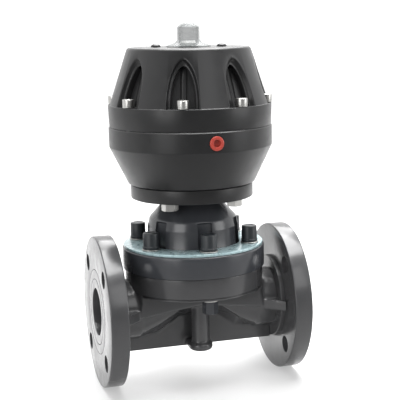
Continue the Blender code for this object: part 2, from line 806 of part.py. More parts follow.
def window_cutter(name):
    """A pointed window that narrows a little behind its mouth."""
    shape = bmesh.new()
    layers = [
        window_layer(shape, 19.5, 269, -4),
        window_layer(shape, 14, 262, 4),
        window_layer(shape, 13, 259.5, 12),
    ]
    for near, far in zip(layers, layers[1:]):
        for i in range(len(near)):
            j = (i + 1) % len(near)
            shape.faces.new((near[i], near[j], far[j], far[i]))
    shape.faces.new(layers[0])
    shape.faces.new(layers[-1])
    bmesh.ops.recalc_face_normals(shape, faces=shape.faces)
    mesh = bpy.data.meshes.new(name)
    shape.to_mesh(mesh)
    shape.free()
    return mesh


def upper_housing():
    """Bell over the springs, with a ledge for the screws and a pointed window above each of them."""
    corner = arc((cone_radius(HEAD_TOP - 2) - 2.2, HEAD_TOP - 2), 2, 90, 10, 2)
    outside = [(15.8, HEAD_TOP)] + corner
    outside += [
        (CONE_FOOT_RADIUS, LEDGE_Z),
        (HEAD_RADIUS, LEDGE_Z),
        (HEAD_RADIUS, SEAM_Z + GAP + 0.7),
        (HEAD_RADIUS - 0.7, SEAM_Z + GAP),
    ]
    inside = [(63, SEAM_Z + GAP), (63, 228), (47, CHAMBER_CEILING), (12.5, CHAMBER_CEILING)]
    inside += [(12.5, 271.2), (15.8, 271.2)]
    housing = turned("upper_housing", outside + inside, BLACK_PLASTIC, ring=True)
    window = window_cutter("window")
    for angle in SCREW_ANGLES:
        cutter = add(f"window_{angle:.0f}", window.copy())
        cutter.rotation_euler.z = math.radians(angle)
        boolean(housing, cutter)
    bpy.data.meshes.remove(window)
    holes(housing, 3.3, SEAM_Z - 2, LEDGE_Z + 2, SCREW_CIRCLE, SCREW_ANGLES)
    holes(housing, 2.8, HEAD_TOP - 5.5, HEAD_TOP + 2, TOP_PLUG_CIRCLE, TOP_PLUG_ANGLES)


def housing_screws():
    """Socket-head screws that hold the two housings together."""
    seat, head, shank, foot = LEDGE_Z + GAP, 5.9, 2.9, 179
    top = seat + 8.5
    profile = [(0, top), (head - 0.7, top), (head, top - 0.7), (head, seat)]
    profile += [(shank, seat), (shank, foot), (0, foot)]
    screw = turned("housing_screw", profile, STAINLESS, SMALL)
    boolean(screw, hexagon("socket", 5, top - 4, top + 2))
    copies(screw, SCREW_COUNT, SCREW_CIRCLE, SCREW_ANGLES)


def actuator_diaphragm():
    """Rubber dish between the air chamber and the springs."""
    inner_wall = [(8.3, 152.4), (54.6, 152.4), (59.6, 156), (66, 176), (71.5, SEAM_Z)]
    outer_wall = [(84.3, SEAM_Z), (84.3, 191.7), (73.4, 191.7), (68.3, 175.4), (61.8, 154), (55.6, 149.7)]
    outer_wall += [(8.3, 149.7)]
    dish = turned("actuator_diaphragm", inner_wall + outer_wall, RUBBER, ring=True)
    holes(dish, 3.3, 185, 200, SCREW_CIRCLE, SCREW_ANGLES)


def diaphragm_disc():
    """Disc that the springs press on, and the nut that holds it to the stem."""
    hub, hub_top = 15, 166
    profile = [
        (STEM_BORE, hub_top),
        (hub, hub_top),
        (hub, DISC_TOP),
        (DISC_RADIUS, DISC_TOP),
        (DISC_RADIUS, DISC_Z + 1.3),
        (DISC_RADIUS - 1.5, DISC_Z),
        (STEM_BORE, DISC_Z),
    ]
    turned("diaphragm_disc", profile, BONNET_GREY, FINE, ring=True)
    nut = add("stem_nut", cone_mesh("stem_nut", 13.8, 6, 6), STAINLESS)
    nut.location.z = (hub_top + GAP + 3) * MM
    boolean(nut, cylinder("stem_nut_bore", STEM_BORE, 160, 180, steps=FINE))


def closing_spring(name, radius, wire, turns, per_turn):
    """A coil between the disc and the ceiling of the upper housing."""
    low = DISC_TOP + GAP + wire
    high = CHAMBER_CEILING - GAP - wire
    points = []
    for i in range(turns * per_turn + 1):
        angle = 2 * math.pi * i / per_turn
        height = low + (high - low) * i / (turns * per_turn)
        points.append((radius * math.cos(angle), radius * math.sin(angle), height))
    path_tube(name, points, wire, 2, SPRING_STEEL)


# ---------------------------------------------------------------- position indicator


def indicator_cap():
    """Clear dome with a flared skirt, over the indicator rod."""
    outer, wall = 11.85, 1.5
    dome = arc((0, 295.3 - 11.4), 16.7, 90, 44.5, 3)[:-1]
    outside = dome + [(outer, 295.3), (outer, 282.3), (12.8, 280.4), (15.5, 278.1), (19.5, 276.6)]
    outside += [(23.2, 276.1)]
    outside += [(23.2, HEAD_TOP + GAP), (12.2, HEAD_TOP + GAP), (12.2, 268), (outer - wall, 268)]
    inner_dome = arc((0, 295.3 - 11.4), 15.2, 47, 90, 3)
    turned("indicator_cap", outside + inner_dome, CLEAR_PLASTIC, FINE)


def indicator_rod():
    """Rod on the stem with a white knob that shows in the cap."""
    knob, rod = 8.8, 3.4
    profile = [
        (0, KNOB_BOTTOM + 5.2),
        (6, KNOB_BOTTOM + 5.2),
        (knob, KNOB_BOTTOM + 3.2),
        (knob, KNOB_BOTTOM),
        (rod, KNOB_BOTTOM),
        (rod, STEM_TOP + GAP),
        (0, STEM_TOP + GAP),
    ]
    turned("indicator_rod", profile, WHITE_PLASTIC, FINE)


def top_plugs():
    """Small domed plugs on the actuator's top face."""
    radius, rise = 5.2, 3.2
    sphere = (radius**2 + rise**2) / (2 * rise)
    base = HEAD_TOP + GAP
    half = math.degrees(math.asin(radius / sphere))
    dome = arc((0, base + rise - sphere), sphere, 90, 90 - half, 3)
    profile = dome + [(2.5, base), (2.5, HEAD_TOP - 5), (0, HEAD_TOP - 5)]
    copies(turned("top_plug", profile, BLACK_PLASTIC, SMALL), 2, TOP_PLUG_CIRCLE, TOP_PLUG_ANGLES)


# ---------------------------------------------------------------- assembly


def finish(obj):
    """Apply a piece's modifiers, smooth its round faces and keep its real edges sharp."""
    if obj.modifiers:
        obj.data = evaluated_mesh(obj)
        obj.modifiers.clear()
    obj.data.shade_smooth()
    obj.data.set_sharp_from_angle(angle=math.radians(32))


def build():
    """Make every sub-part."""
    valve_body()
    pipe_flange("inlet_flange", -1)
    pipe_flange("outlet_flange", 1)
    foot_inserts()
    valve_diaphragm()
    compressor()
    stem()
    stem_guides()
    bonnet()
    clamp_plate()
    for number in range(1, BODY_BOLT_COUNT + 1):
        body_bolt(number, NUT_BOLT_FOOT if number in THROUGH_BOLTS else BLIND_BOLT_FOOT)
    bolt_caps()
    body_nuts()
    actuator_base()
    base_bolts()
    lower_housing()
    port_plug()
    upper_housing()
    housing_screws()
    actuator_diaphragm()
    diaphragm_disc()
    closing_spring("outer_spring", 41, 2.5, 4, 9)
    closing_spring("inner_spring", 23, 2, 5, 8)
    indicator_cap()
    indicator_rod()
    torus("cap_seal", 14.1, 1.3, 272.9, RUBBER)
    top_plugs()
    bpy.context.view_layer.update()
    for obj in PARTS.objects:
        finish(obj)


build()
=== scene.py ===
"""Looks of the diaphragm valve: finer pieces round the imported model, materials, camera and light.

The flow axis is X and the stem axis is Z, and they cross at the origin. Lengths are in millimetres up to the
helpers, which hand them to Blender in metres. Angles round Z start at -Y and grow towards +X.
"""

import json
import math

import bmesh
import bpy
from mathutils import Matrix, Vector


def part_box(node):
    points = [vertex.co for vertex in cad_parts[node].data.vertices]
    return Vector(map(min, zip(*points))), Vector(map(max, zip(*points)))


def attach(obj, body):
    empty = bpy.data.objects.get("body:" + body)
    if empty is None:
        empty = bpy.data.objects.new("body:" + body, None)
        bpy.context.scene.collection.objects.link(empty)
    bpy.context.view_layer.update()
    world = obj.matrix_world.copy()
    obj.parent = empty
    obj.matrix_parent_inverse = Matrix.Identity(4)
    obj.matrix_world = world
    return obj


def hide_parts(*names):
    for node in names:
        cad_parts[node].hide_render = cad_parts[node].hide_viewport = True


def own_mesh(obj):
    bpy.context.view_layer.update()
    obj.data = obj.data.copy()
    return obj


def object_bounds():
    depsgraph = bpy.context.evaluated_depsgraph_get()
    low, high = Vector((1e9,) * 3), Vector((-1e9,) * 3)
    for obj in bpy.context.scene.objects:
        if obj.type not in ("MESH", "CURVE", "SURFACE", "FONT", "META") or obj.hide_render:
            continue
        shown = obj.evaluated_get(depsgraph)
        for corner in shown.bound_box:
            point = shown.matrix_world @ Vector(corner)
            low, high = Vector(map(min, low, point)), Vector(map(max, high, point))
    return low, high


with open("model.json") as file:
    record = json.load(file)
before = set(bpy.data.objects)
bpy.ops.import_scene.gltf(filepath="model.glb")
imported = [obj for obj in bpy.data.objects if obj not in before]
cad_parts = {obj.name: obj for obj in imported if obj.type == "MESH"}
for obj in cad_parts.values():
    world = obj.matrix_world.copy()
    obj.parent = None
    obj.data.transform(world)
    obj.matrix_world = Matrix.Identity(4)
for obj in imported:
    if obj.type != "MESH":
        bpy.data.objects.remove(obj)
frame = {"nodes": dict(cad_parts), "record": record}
CAD_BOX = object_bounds()

MM = 0.001
ROUND = 144  # steps round a large turned piece
FINE = 72  # steps round a middling one
SMALL = 40  # steps round a screw or a cap
WELD = 0.000002  # vertices this close become one, in metres
TURN_WELD = 0.000005  # the same in a turned shape
EVEN = (1, 1, 1)  # grain that is as long as it is wide


def low(node, axis=2):
    """Lowest coordinate of a CAD node on an axis, in millimetres."""
    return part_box(node)[0][axis] / MM


def high(node, axis=2):
    """Highest coordinate of a CAD node on an axis, in millimetres."""
    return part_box(node)[1][axis] / MM


GAP = 0.3

# Pipe ends and body
FACE_X = high("outlet_flange", 0)
FLANGE_BACK = low("outlet_flange", 0)
FLANGE_RADIUS = high("outlet_flange")
FLANGE_HOLE_CIRCLE = 62.5
FLANGE_HOLE_RADIUS = 9
BORE_RADIUS = 25
COLLAR_RADIUS = high("valve_body")
COLLAR_BACK = FLANGE_BACK - 4
TUBE_RADIUS = 32
TUBE_BEND_X = 68
TUBE_PEAK_Z = 27
TUBE_TOP_AXIS_Z = 14
WALL_HALF_WIDTH = 34.5
WALL_EDGE_MIDDLE = 5
WALL_EDGE_END = -3
RIDGE_TOP = 3
RIDGE_SLOPE = 0.73
RIDGE_DROP = 15
RIDGE_FULL_CLIMB = 18
BODY_RADIUS = high("valve_body", 1)
BODY_TOP = 42.4
BODY_BOTTOM = 19
SEAT_RADIUS = 70
SEAT_Z = 39.6
WEIR_HALF_THICKNESS = 6
BOWL_RADIUS = 46
BOWL_BOTTOM = 17.7
FOOT_Z = low("valve_body")
FOOT_SPACING = 21.5
FOOT_HALF_WIDTH = 12.9
COLUMN_RADIUS = 9.8
WEB_HALF_THICKNESS = 4.5
INSERT_LENGTH = 14
INSERT_HOLE_RADIUS = 5.5
BOLT_CIRCLE = 61.7
BOLT_HOLE_RADIUS = 4.3

# Bonnet
BONNET_RADIUS = high("bonnet", 1)
BONNET_SKIRT_Z = low("bonnet")
BONNET_BOTTOM = 44.6
BELL_RADIUS = 49.3
BONNET_TOP = 117.7
PLATE_TOP = high("clamp_plate")
PLATE_BOTTOM = low("clamp_plate")
PLATE_RADIUS = high("clamp_plate", 1)
RING_TOP = PLATE_BOTTOM - GAP
POCKET_BACK = 44.5
POCKET_WIDTH = 15.4
POCKET_BACK_TOP = 94
POCKET_TOP = 99.5

# Actuator
HEAD_TURN = 2.5
HEAD_RADIUS = high("upper_housing", 1)
BASE_RADIUS = high("actuator_base", 1)
BASE_BOTTOM = low("actuator_base")
BASE_TOP = high("actuator_base")
LOWER_BOTTOM = low("lower_housing")
LOWER_TOP = high("lower_housing")
LOWER_BEND = 172.8
UPPER_BOTTOM = low("upper_housing")
LEDGE_Z = 216.5
HEAD_TOP = high("upper_housing")
CONE_FOOT_RADIUS = 84.2
CONE_SLOPE = 0.34
WINDOW_PEAK = 266.5
WINDOW_HALF_WIDTH = 17.3
CHAMBER_FLOOR = 143
CHAMBER_CEILING = 262.1
SCREW_CIRCLE = 80.5
SCREW_HOLE_RADIUS = 3.3
BASE_BOLT_CIRCLE = 50
BASE_BOLT_HOLE_RADIUS = 5.5
PORT_Z = 182.3
TOP_PLUG_CIRCLE = 34.5
TOP_PLUG_HOLE_RADIUS = 2.8
CAP_FOOT_Z = 268
DIAPHRAGM_THICKNESS = 4.4

BOLT_ANGLES = [60 * i for i in range(6)]
NUT_ANGLES = [0, 180]
FLANGE_HOLE_ANGLES = [45 + 90 * i for i in range(4)]
WINDOW_ANGLES = [HEAD_TURN + 22.5 + 45 * i for i in range(8)]
BASE_BOLT_ANGLES = [HEAD_TURN + 45 + 90 * i for i in range(4)]
TOP_PLUG_ANGLES = [HEAD_TURN + 67.5, HEAD_TURN + 247.5]


# ---------------------------------------------------------------- materials

# Sockets of a Mix node that mixes colours
MIX_SHARE, MIX_FIRST, MIX_SECOND = 0, 6, 7
MIXED_COLOUR = 2


class Shader:
    """A Principled material with nodes for grain and blotches."""

    def __init__(self, name, colour, roughness, metallic=0.0):
        self.material = bpy.data.materials.new(name)
        self.material.use_nodes = True
        self.tree = self.material.node_tree
        self.principled = self.tree.nodes["Principled BSDF"]
        self.set("Base Color", (*colour, 1))
        self.set("Roughness", roughness)
        self.set("Metallic", metallic)
        self.colour = colour
        self.place = self.node("ShaderNodeTexCoord").outputs["Object"]

    def set(self, socket, value):
        """Give a socket of the Principled shader a plain value."""
        self.principled.inputs[socket].default_value = value

    def node(self, kind, **inputs):
        """Add a node whose inputs are named with _ for a space."""
        made = self.tree.nodes.new(kind)
        for name, value in inputs.items():
            self.feed(made.inputs[name.replace("_", " ")], value)
        return made

    def feed(self, socket, value):
        """Link a socket to another, or give it a value."""
        if isinstance(value, bpy.types.NodeSocket):
            self.tree.links.new(value, socket)
        else:
            socket.default_value = value

    def noise(self, size, detail, stretch=EVEN):
        """Noise whose blotches are about that size in millimetres."""
        place = self.node("ShaderNodeMapping", Vector=self.place, Scale=stretch)
        fineness = 1 / (size * MM)
        made = self.node("ShaderNodeTexNoise", Vector=place.outputs[0], Scale=fineness, Detail=detail)
        return made.outputs["Fac"]

    def ranged(self, value, bottom, top, start=0.3, end=0.7):
        """A value spread from one range to another."""
        made = self.node("ShaderNodeMapRange", Value=value)
        for socket, number in zip(made.inputs[1:5], (start, end, bottom, top)):
            socket.default_value = number
        return made.outputs[0]

    def vary_colour(self, size, amount):
        """Make the colour lighter and darker in blotches."""
        dark = [c * (1 - amount) for c in self.colour]
        light = [min(1, c * (1 + amount)) for c in self.colour]
        mix = self.node("ShaderNodeMix")
        mix.data_type = "RGBA"
        self.feed(mix.inputs[MIX_SHARE], self.noise(size, 4.0))
        mix.inputs[MIX_FIRST].default_value = (*dark, 1)
        mix.inputs[MIX_SECOND].default_value = (*light, 1)
        self.feed(self.principled.inputs["Base Color"], mix.outputs[MIXED_COLOUR])

    def vary_roughness(self, size, bottom, top, stretch=EVEN):
        """Make the surface duller and glossier in blotches."""
        worn = self.ranged(self.noise(size, 3.0, stretch), bottom, top)
        self.feed(self.principled.inputs["Roughness"], worn)

    def relief(self, *layers):
        """Bump from layers of (size, height in millimetres, stretch)."""
        below = self.principled.inputs["Normal"]
        for size, height, stretch in layers:
            bump = self.node("ShaderNodeBump", Height=self.noise(size, 2.0, stretch), Distance=height * MM)
            self.feed(below, bump.outputs[0])
            below = bump.inputs["Normal"]


def moulded(name, colour, roughness, grain=0.005, wave=0.012, gloss=0.5):
    """Injection-moulded plastic: fine grain, faint flow waves and slightly uneven gloss."""
    made = Shader(name, colour, roughness)
    made.set("Specular IOR Level", gloss)
    made.vary_colour(18, 0.1)
    made.vary_roughness(11, roughness - 0.04, roughness + 0.05)
    made.relief((0.7, grain, EVEN), (14, wave, EVEN))
    return made.material


def turned_metal(name, colour, roughness, lay=(1, 1, 14)):
    """Metal with fine tool marks and a worn, uneven polish."""
    made = Shader(name, colour, roughness, 1.0)
    made.vary_colour(5, 0.1)
    made.vary_roughness(2.5, roughness - 0.08, roughness + 0.12, lay)
    made.relief((1.2, 0.012, lay), (4, 0.01, EVEN))
    return made.material


def coated_plate():
    """Thin translucent-looking blue-grey coating over steel."""
    made = Shader("coated_steel", (0.32, 0.44, 0.46), 0.3, 0.25)
    made.vary_colour(9, 0.14)
    made.vary_roughness(6, 0.2, 0.4)
    made.relief((1.1, 0.015, EVEN), (10, 0.04, EVEN))
    made.set("Coat Weight", 0.5)
    made.set("Coat Roughness", 0.08)
    return made.material


def elastomer():
    """Dull moulded rubber."""
    made = Shader("rubber", (0.018, 0.018, 0.018), 0.75)
    made.vary_colour(6, 0.25)
    made.vary_roughness(3, 0.65, 0.85)
    made.relief((0.5, 0.03, EVEN), (5, 0.04, EVEN))
    return made.material


def clear_moulding():
    """Clear moulded plastic. It hides more towards its edges, where the way through it is long."""
    made = Shader("clear_plastic", (0.15, 0.16, 0.16), 0.3)
    made.set("Specular IOR Level", 0.2)
    facing = made.node("ShaderNodeLayerWeight", Blend=0.25).outputs["Facing"]
    cover = made.ranged(facing, bottom=0.3, top=0.6, start=0, end=1)
    made.feed(made.principled.inputs["Alpha"], cover)
    made.vary_roughness(3, 0.24, 0.36)
    made.relief((6, 0.03, EVEN), (0.8, 0.01, EVEN))
    return made.material


MATERIALS = {
    "grey_pvc": moulded("grey_pvc", (0.05, 0.05, 0.052), 0.22),
    "dark_plastic": moulded("dark_plastic", (0.036, 0.038, 0.043), 0.22),
    "black_plastic": moulded("black_plastic", (0.013, 0.013, 0.0135), 0.33, 0.01, 0.015, 0.35),
    "cap_plastic": moulded("cap_plastic", (0.014, 0.017, 0.02), 0.4, 0.01),
    "coated_steel": coated_plate(),
    "stainless": turned_metal("stainless", (0.46, 0.455, 0.44), 0.34),
    "spring_steel": turned_metal("spring_steel", (0.3, 0.3, 0.31), 0.35, EVEN),
    "brass": turned_metal("brass", (0.68, 0.5, 0.22), 0.28),
    "rubber": elastomer(),
    "red_plastic": moulded("red_plastic", (0.4, 0.05, 0.035), 0.3, 0.01),
    "clear_plastic": clear_moulding(),
    "white_plastic": moulded("white_plastic", (0.78, 0.78, 0.76), 0.35, 0.01),
}


# ---------------------------------------------------------------- shape helpers


def add(name, mesh):
    """Put a mesh in the scene."""
    obj = bpy.data.objects.new(name, mesh)
    bpy.context.scene.collection.objects.link(obj)
    return obj


def from_bmesh(name, shape):
    """An object with the mesh that a bmesh holds."""
    mesh = bpy.data.meshes.new(name)
    shape.to_mesh(mesh)
    shape.free()
    return add(name, mesh)


def rounded(points, steps=4):
    """A closed or open run of (x, y) points in which a third number rounds that corner."""
    result = []
    for i, point in enumerate(points):
        here = Vector(point[:2])
        if len(point) < 3:
            result.append(here)
            continue
        back = (Vector(points[i - 1][:2]) - here).normalized()
        ahead = (Vector(points[(i + 1) % len(points)][:2]) - here).normalized()
        half = back.angle(ahead) / 2
        centre = here + (back + ahead).normalized() * (point[2] / math.sin(half))
        reach = point[2] / math.tan(half)
        first = here + back * reach - centre
        last = here + ahead * reach - centre
        start = math.atan2(first.y, first.x)
        sweep = (math.atan2(last.y, last.x) - start + math.pi) % (2 * math.pi) - math.pi
        for k in range(steps + 1):
            angle = start + sweep * k / steps
            result.append(centre + Vector((math.cos(angle), math.sin(angle))) * point[2])
    return result


def turned(name, profile, steps=ROUND, ring=False):
    """Turn a profile of (radius, height) points round Z.

    The profile runs down its outer side, and a ring closes on itself.
    """
    points = rounded(profile)
    edges = [(i, i + 1) for i in range(len(points) - 1)]
    if ring:
        edges.append((len(points) - 1, 0))
    mesh = bpy.data.meshes.new(name)
    mesh.from_pydata([(r * MM, 0, z * MM) for r, z in points], edges, [])
    obj = add(name, mesh)
    screw = obj.modifiers.new("Turn", "SCREW")
    screw.steps = steps
    screw.render_steps = steps
    screw.use_merge_vertices = True
    screw.merge_threshold = TURN_WELD
    return bake(obj)


def bake(obj):
    """Put an object's modifiers and its placement into its mesh, and weld it."""
    bpy.context.view_layer.update()
    graph = bpy.context.evaluated_depsgraph_get()
    mesh = bpy.data.meshes.new_from_object(obj.evaluated_get(graph))
    mesh.transform(obj.matrix_world)
    if obj.type != "MESH":
        name = obj.name
        bpy.data.objects.remove(obj)
        obj = add(name, mesh)
    obj.modifiers.clear()
    obj.data = mesh
    obj.matrix_world = Matrix.Identity(4)
    shape = bmesh.new()
    shape.from_mesh(mesh)
    bmesh.ops.remove_doubles(shape, verts=shape.verts, dist=WELD)
    shape.to_mesh(mesh)
    shape.free()
    return obj


def put(obj, circle, angle):
    """Place an object on a circle round Z, turned with it."""
    turn = math.radians(angle)
    obj.location = (circle * math.sin(turn) * MM, -circle * math.cos(turn) * MM, 0)
    obj.rotation_euler.z = turn
    return bake(obj)


def combine(obj, others, operation="DIFFERENCE", solver="EXACT"):
    """Join others to an object or cut it with them, and remove them."""
    for other in others:
        modifier = obj.modifiers.new("Boolean", "BOOLEAN")
        modifier.operation = operation
        modifier.solver = solver
        modifier.object = other
        bake(obj)
        bpy.data.objects.remove(other)
    return obj


def fuse(name, objects, voxel, smoothing):
    """Melt overlapping objects into one skin whose inner corners are soft."""
    shape = bmesh.new()
    for obj in objects:
        shape.from_mesh(obj.data)
        bpy.data.objects.remove(obj)
    skin = from_bmesh(name, shape)
    remesh = skin.modifiers.new("Remesh", "REMESH")
    remesh.mode = "VOXEL"
    remesh.voxel_size = voxel * MM
    smooth = skin.modifiers.new("Smooth", "SMOOTH")
    smooth.factor = 0.5
    smooth.iterations = smoothing
    return bake(skin)


def rod(name, radius, bottom, top, steps=SMALL):
    """An upright cylinder."""
    return turned(name, [(0, top), (radius, top), (radius, bottom), (0, bottom)], steps)


def holes(radius, bottom, top, circle, angles, steps=SMALL):
    """Cutters for upright holes on a circle."""
    return [put(rod("hole", radius, bottom, top, steps), circle, angle) for angle in angles]


def hexagon(name, across_flats, bottom, top):
    """An upright hexagonal prism."""
    shape = bmesh.new()
    radius = across_flats / 2 / math.cos(math.radians(30)) * MM
    place = Matrix.Translation((0, 0, (bottom + top) / 2 * MM))
    bmesh.ops.create_cone(
        shape,
        cap_ends=True,
        segments=6,
        radius1=radius,
        radius2=radius,
        depth=(top - bottom) * MM,
        matrix=place,
    )
    return from_bmesh(name, shape)


def bolt_head(name, across_flats, bottom, top, chamfer_up=True):
    """A hexagon with its corners turned off at one end."""
    corner = across_flats / 2 / math.cos(math.radians(30)) + 0.2
    flat = across_flats / 2 - 0.3
    drop = (corner - flat) * math.tan(math.radians(30))
    profile = [(0, top), (flat, top), (corner, top - drop), (corner, bottom), (0, bottom)]
    if not chamfer_up:
        profile = [(0, top), (corner, top), (corner, bottom + drop), (flat, bottom), (0, bottom)]
    turning = turned("turning", profile, SMALL)
    return combine(hexagon(name, across_flats, bottom, top), [turning], "INTERSECT")


def box(name, low_corner, high_corner):
    """A box between two corners."""
    shape = bmesh.new()
    bmesh.ops.create_cube(shape, size=1)
    size = [(b - a) * MM for a, b in zip(low_corner, high_corner)]
    bmesh.ops.scale(shape, vec=size, verts=shape.verts)
    middle = [(a + b) / 2 * MM for a, b in zip(low_corner, high_corner)]
    bmesh.ops.translate(shape, vec=middle, verts=shape.verts)
    return from_bmesh(name, shape)


def plate(name, outline, bottom, top, edge=0):
    """An upright extrusion of an outline of (x, y) points, with its edges rounded by a radius."""
    curve = bpy.data.curves.new(name, "CURVE")
    curve.dimensions = "2D"
    curve.fill_mode = "BOTH"
    curve.extrude = ((top - bottom) / 2 - edge) * MM
    curve.bevel_depth = edge * MM
    curve.bevel_resolution = 3
    curve.offset = -edge * MM
    spline = curve.splines.new("POLY")
    spline.use_cyclic_u = True
    points = rounded(outline)
    spline.points.add(len(points) - 1)
    for target, point in zip(spline.points, points):
        target.co = (point[0] * MM, point[1] * MM, 0, 1)
    flat = add(name, curve)
    flat.location.z = (bottom + top) / 2 * MM
    return bake(flat)


def path_tube(name, points, radius, resolution):
    """A round tube along a path."""
    curve = bpy.data.curves.new(name, "CURVE")
    curve.dimensions = "3D"
    curve.bevel_depth = radius * MM
    curve.bevel_resolution = resolution
    curve.use_fill_caps = True
    spline = curve.splines.new("POLY")
    spline.points.add(len(points) - 1)
    for target, point in zip(spline.points, points):
        target.co = (*(value * MM for value in point), 1)
    return bake(add(name, curve))


def loft(name, shape, rings, triangles=False):
    """A closed solid over rings of vertices, each joined to the next."""
    for near, far in zip(rings, rings[1:]):
        for i in range(len(near)):
            j = (i + 1) % len(near)
            shape.faces.new((near[i], near[j], far[j], far[i]))
    shape.faces.new(rings[0])
    shape.faces.new(rings[-1])
    if triangles:
        bmesh.ops.triangulate(shape, faces=shape.faces)
    bmesh.ops.recalc_face_normals(shape, faces=shape.faces)
    return from_bmesh(name, shape)


def trim(obj, point, normal):
    """Cut a mesh flat and drop what lies on the normal's side."""
    shape = bmesh.new()
    shape.from_mesh(obj.data)
    everything = shape.verts[:] + shape.edges[:] + shape.faces[:]
    place = Vector(point) * MM
    bmesh.ops.bisect_plane(shape, geom=everything, plane_co=place, plane_no=normal, clear_outer=True)
    open_edges = [edge for edge in shape.edges if edge.is_boundary]
    bmesh.ops.holes_fill(shape, edges=open_edges)
    bmesh.ops.triangulate(shape, faces=shape.faces)
    bmesh.ops.recalc_face_normals(shape, faces=shape.faces)
    shape.to_mesh(obj.data)
    shape.free()
    return obj


def lay_along_x(obj, side):
    """Turn an object made on Z so that its top points to one pipe end."""
    obj.rotation_euler.y = math.radians(90 * side)
    return bake(obj)


def done(obj, slot, node, body="valve", sharp=32):
    """Shade a piece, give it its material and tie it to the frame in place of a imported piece."""
    obj.data.materials.clear()
    obj.data.materials.append(MATERIALS[slot])
    obj.data.shade_smooth()
    obj.data.set_sharp_from_angle(angle=math.radians(sharp))
    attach(obj, body)
    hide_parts(node)


# ---------------------------------------------------------------- valve body and pipe ends


def bowl_profile():
    """The saddle under the diaphragm, from its rim in to the axis."""
    points = []
    for i in range(21):
        radius = BOWL_RADIUS * (1 - i / 20)
        points.append((radius, BOWL_BOTTOM + (SEAT_Z - BOWL_BOTTOM) * (radius / BOWL_RADIUS) ** 2))
    return points


def flow_path(reach, peak_x):
    """Centre line of the flow: level at the end, then an even climb after a short bend."""
    slope = TUBE_PEAK_Z / TUBE_BEND_X
    bend = 7
    points = [(-reach, 0, 0), (-TUBE_BEND_X - bend, 0, 0)]
    for i in range(1, 6):
        t = i / 6
        points.append((-TUBE_BEND_X - bend + 2 * bend * t, 0, slope * bend * t * t))
    points.append((-TUBE_BEND_X + bend, 0, slope * bend))
    points.append((-peak_x, 0, slope * (TUBE_BEND_X - peak_x)))
    return points


def passages():
    """Cutters for the two bores up to the weir, and the bowl between them."""
    cutters = []
    for side in (-1, 1):
        points = [(-side * x, y, z) for x, y, z in flow_path(FACE_X + 2, -4)]
        tube = path_tube("passage", points, BORE_RADIUS, resolution=10)
        cutters.append(trim(tube, (side * WEIR_HALF_THICKNESS, 0, 0), (-side, 0, 0)))
    hollow = [(0, SEAT_Z + 20), (BOWL_RADIUS, SEAT_Z + 20)] + bowl_profile()
    cutters.append(turned("bowl", hollow, FINE))
    return cutters


def gusset(side, front):
    """A level rib between the tube and the back of a flange."""
    outline = [(56, 20), (65, 31), (FLANGE_BACK - GAP, 52), (FLANGE_BACK - GAP, 30), (80, 20)]
    placed = [(side * x, front * y) for x, y in outline]
    if side * front > 0:
        placed.reverse()
    return plate("gusset", placed, bottom=-6, top=4.5)


def wall_block():
    """The block between the tubes and the body's disc, with its ends flush with the disc."""
    radius, steps = BODY_RADIUS - 0.1, 16
    corner = math.asin(WALL_HALF_WIDTH / radius)
    angles = [corner * (2 * i / steps - 1) for i in range(steps + 1)]
    right = [(radius * math.cos(angle), radius * math.sin(angle)) for angle in angles]
    return plate("wall_block", right + [(-x, -y) for x, y in right], WALL_EDGE_MIDDLE, BODY_BOTTOM + 5)


def belly_section(distance, flank_steps=10, web_steps=8):
    """Half a section of the block's foot and the tube under it: (y, z) pairs from outside in to the web."""
    radius, wall = TUBE_RADIUS, WALL_HALF_WIDTH - 0.05
    climb = RIDGE_SLOPE * (TUBE_BEND_X - distance)
    axis_z = min(TUBE_TOP_AXIS_Z, (TUBE_BEND_X - distance) * TUBE_PEAK_Z / TUBE_BEND_X)
    share = 1 - distance / TUBE_BEND_X
    edge_z = WALL_EDGE_END + (WALL_EDGE_MIDDLE - WALL_EDGE_END) * share
    ridge = min(RIDGE_TOP, max(axis_z - 0.98 * radius, climb - radius))
    top, end = math.asin((edge_z - axis_z) / radius), math.asin((ridge - axis_z) / radius)
    angles = [top + (end - top) * i / flank_steps for i in range(flank_steps + 1)]
    points = [(-wall, WALL_EDGE_MIDDLE + 5), (-wall, edge_z)]
    points += [(-radius * math.cos(angle), axis_z + radius * math.sin(angle)) for angle in angles]
    ridge_y, ridge_z = points[-1]
    drop = RIDGE_DROP * min(1, climb / RIDGE_FULL_CLIMB)
    for i in range(1, web_steps + 1):
        share = i / web_steps
        y = ridge_y + (-WEB_HALF_THICKNESS + 0.5 - ridge_y) * share
        points.append((y, ridge_z - drop * share**1.2))
    return points


def belly():
    """The undersides of both tubes, from one level tube up over the middle and down to the other."""
    shape = bmesh.new()
    rings = []
    reach, steps = TUBE_BEND_X - 1, 70
    for i in range(steps + 1):
        x = reach * (2 * i / steps - 1)
        half = belly_section(abs(x))
        outline = half + [(-y, z) for y, z in reversed(half)]
        rings.append([shape.verts.new((x * MM, y * MM, z * MM)) for y, z in outline])
    return loft("belly", shape, rings, triangles=True)


def foot_outline():
    """The mounting foot from above: a bar with round ends."""
    radius, steps = FOOT_HALF_WIDTH, 24
    angles = [math.pi * i / steps for i in range(steps + 1)]
    rear = [(radius * math.cos(angle), FOOT_SPACING + radius * math.sin(angle)) for angle in angles]
    return rear + [(-x, -y) for x, y in rear]


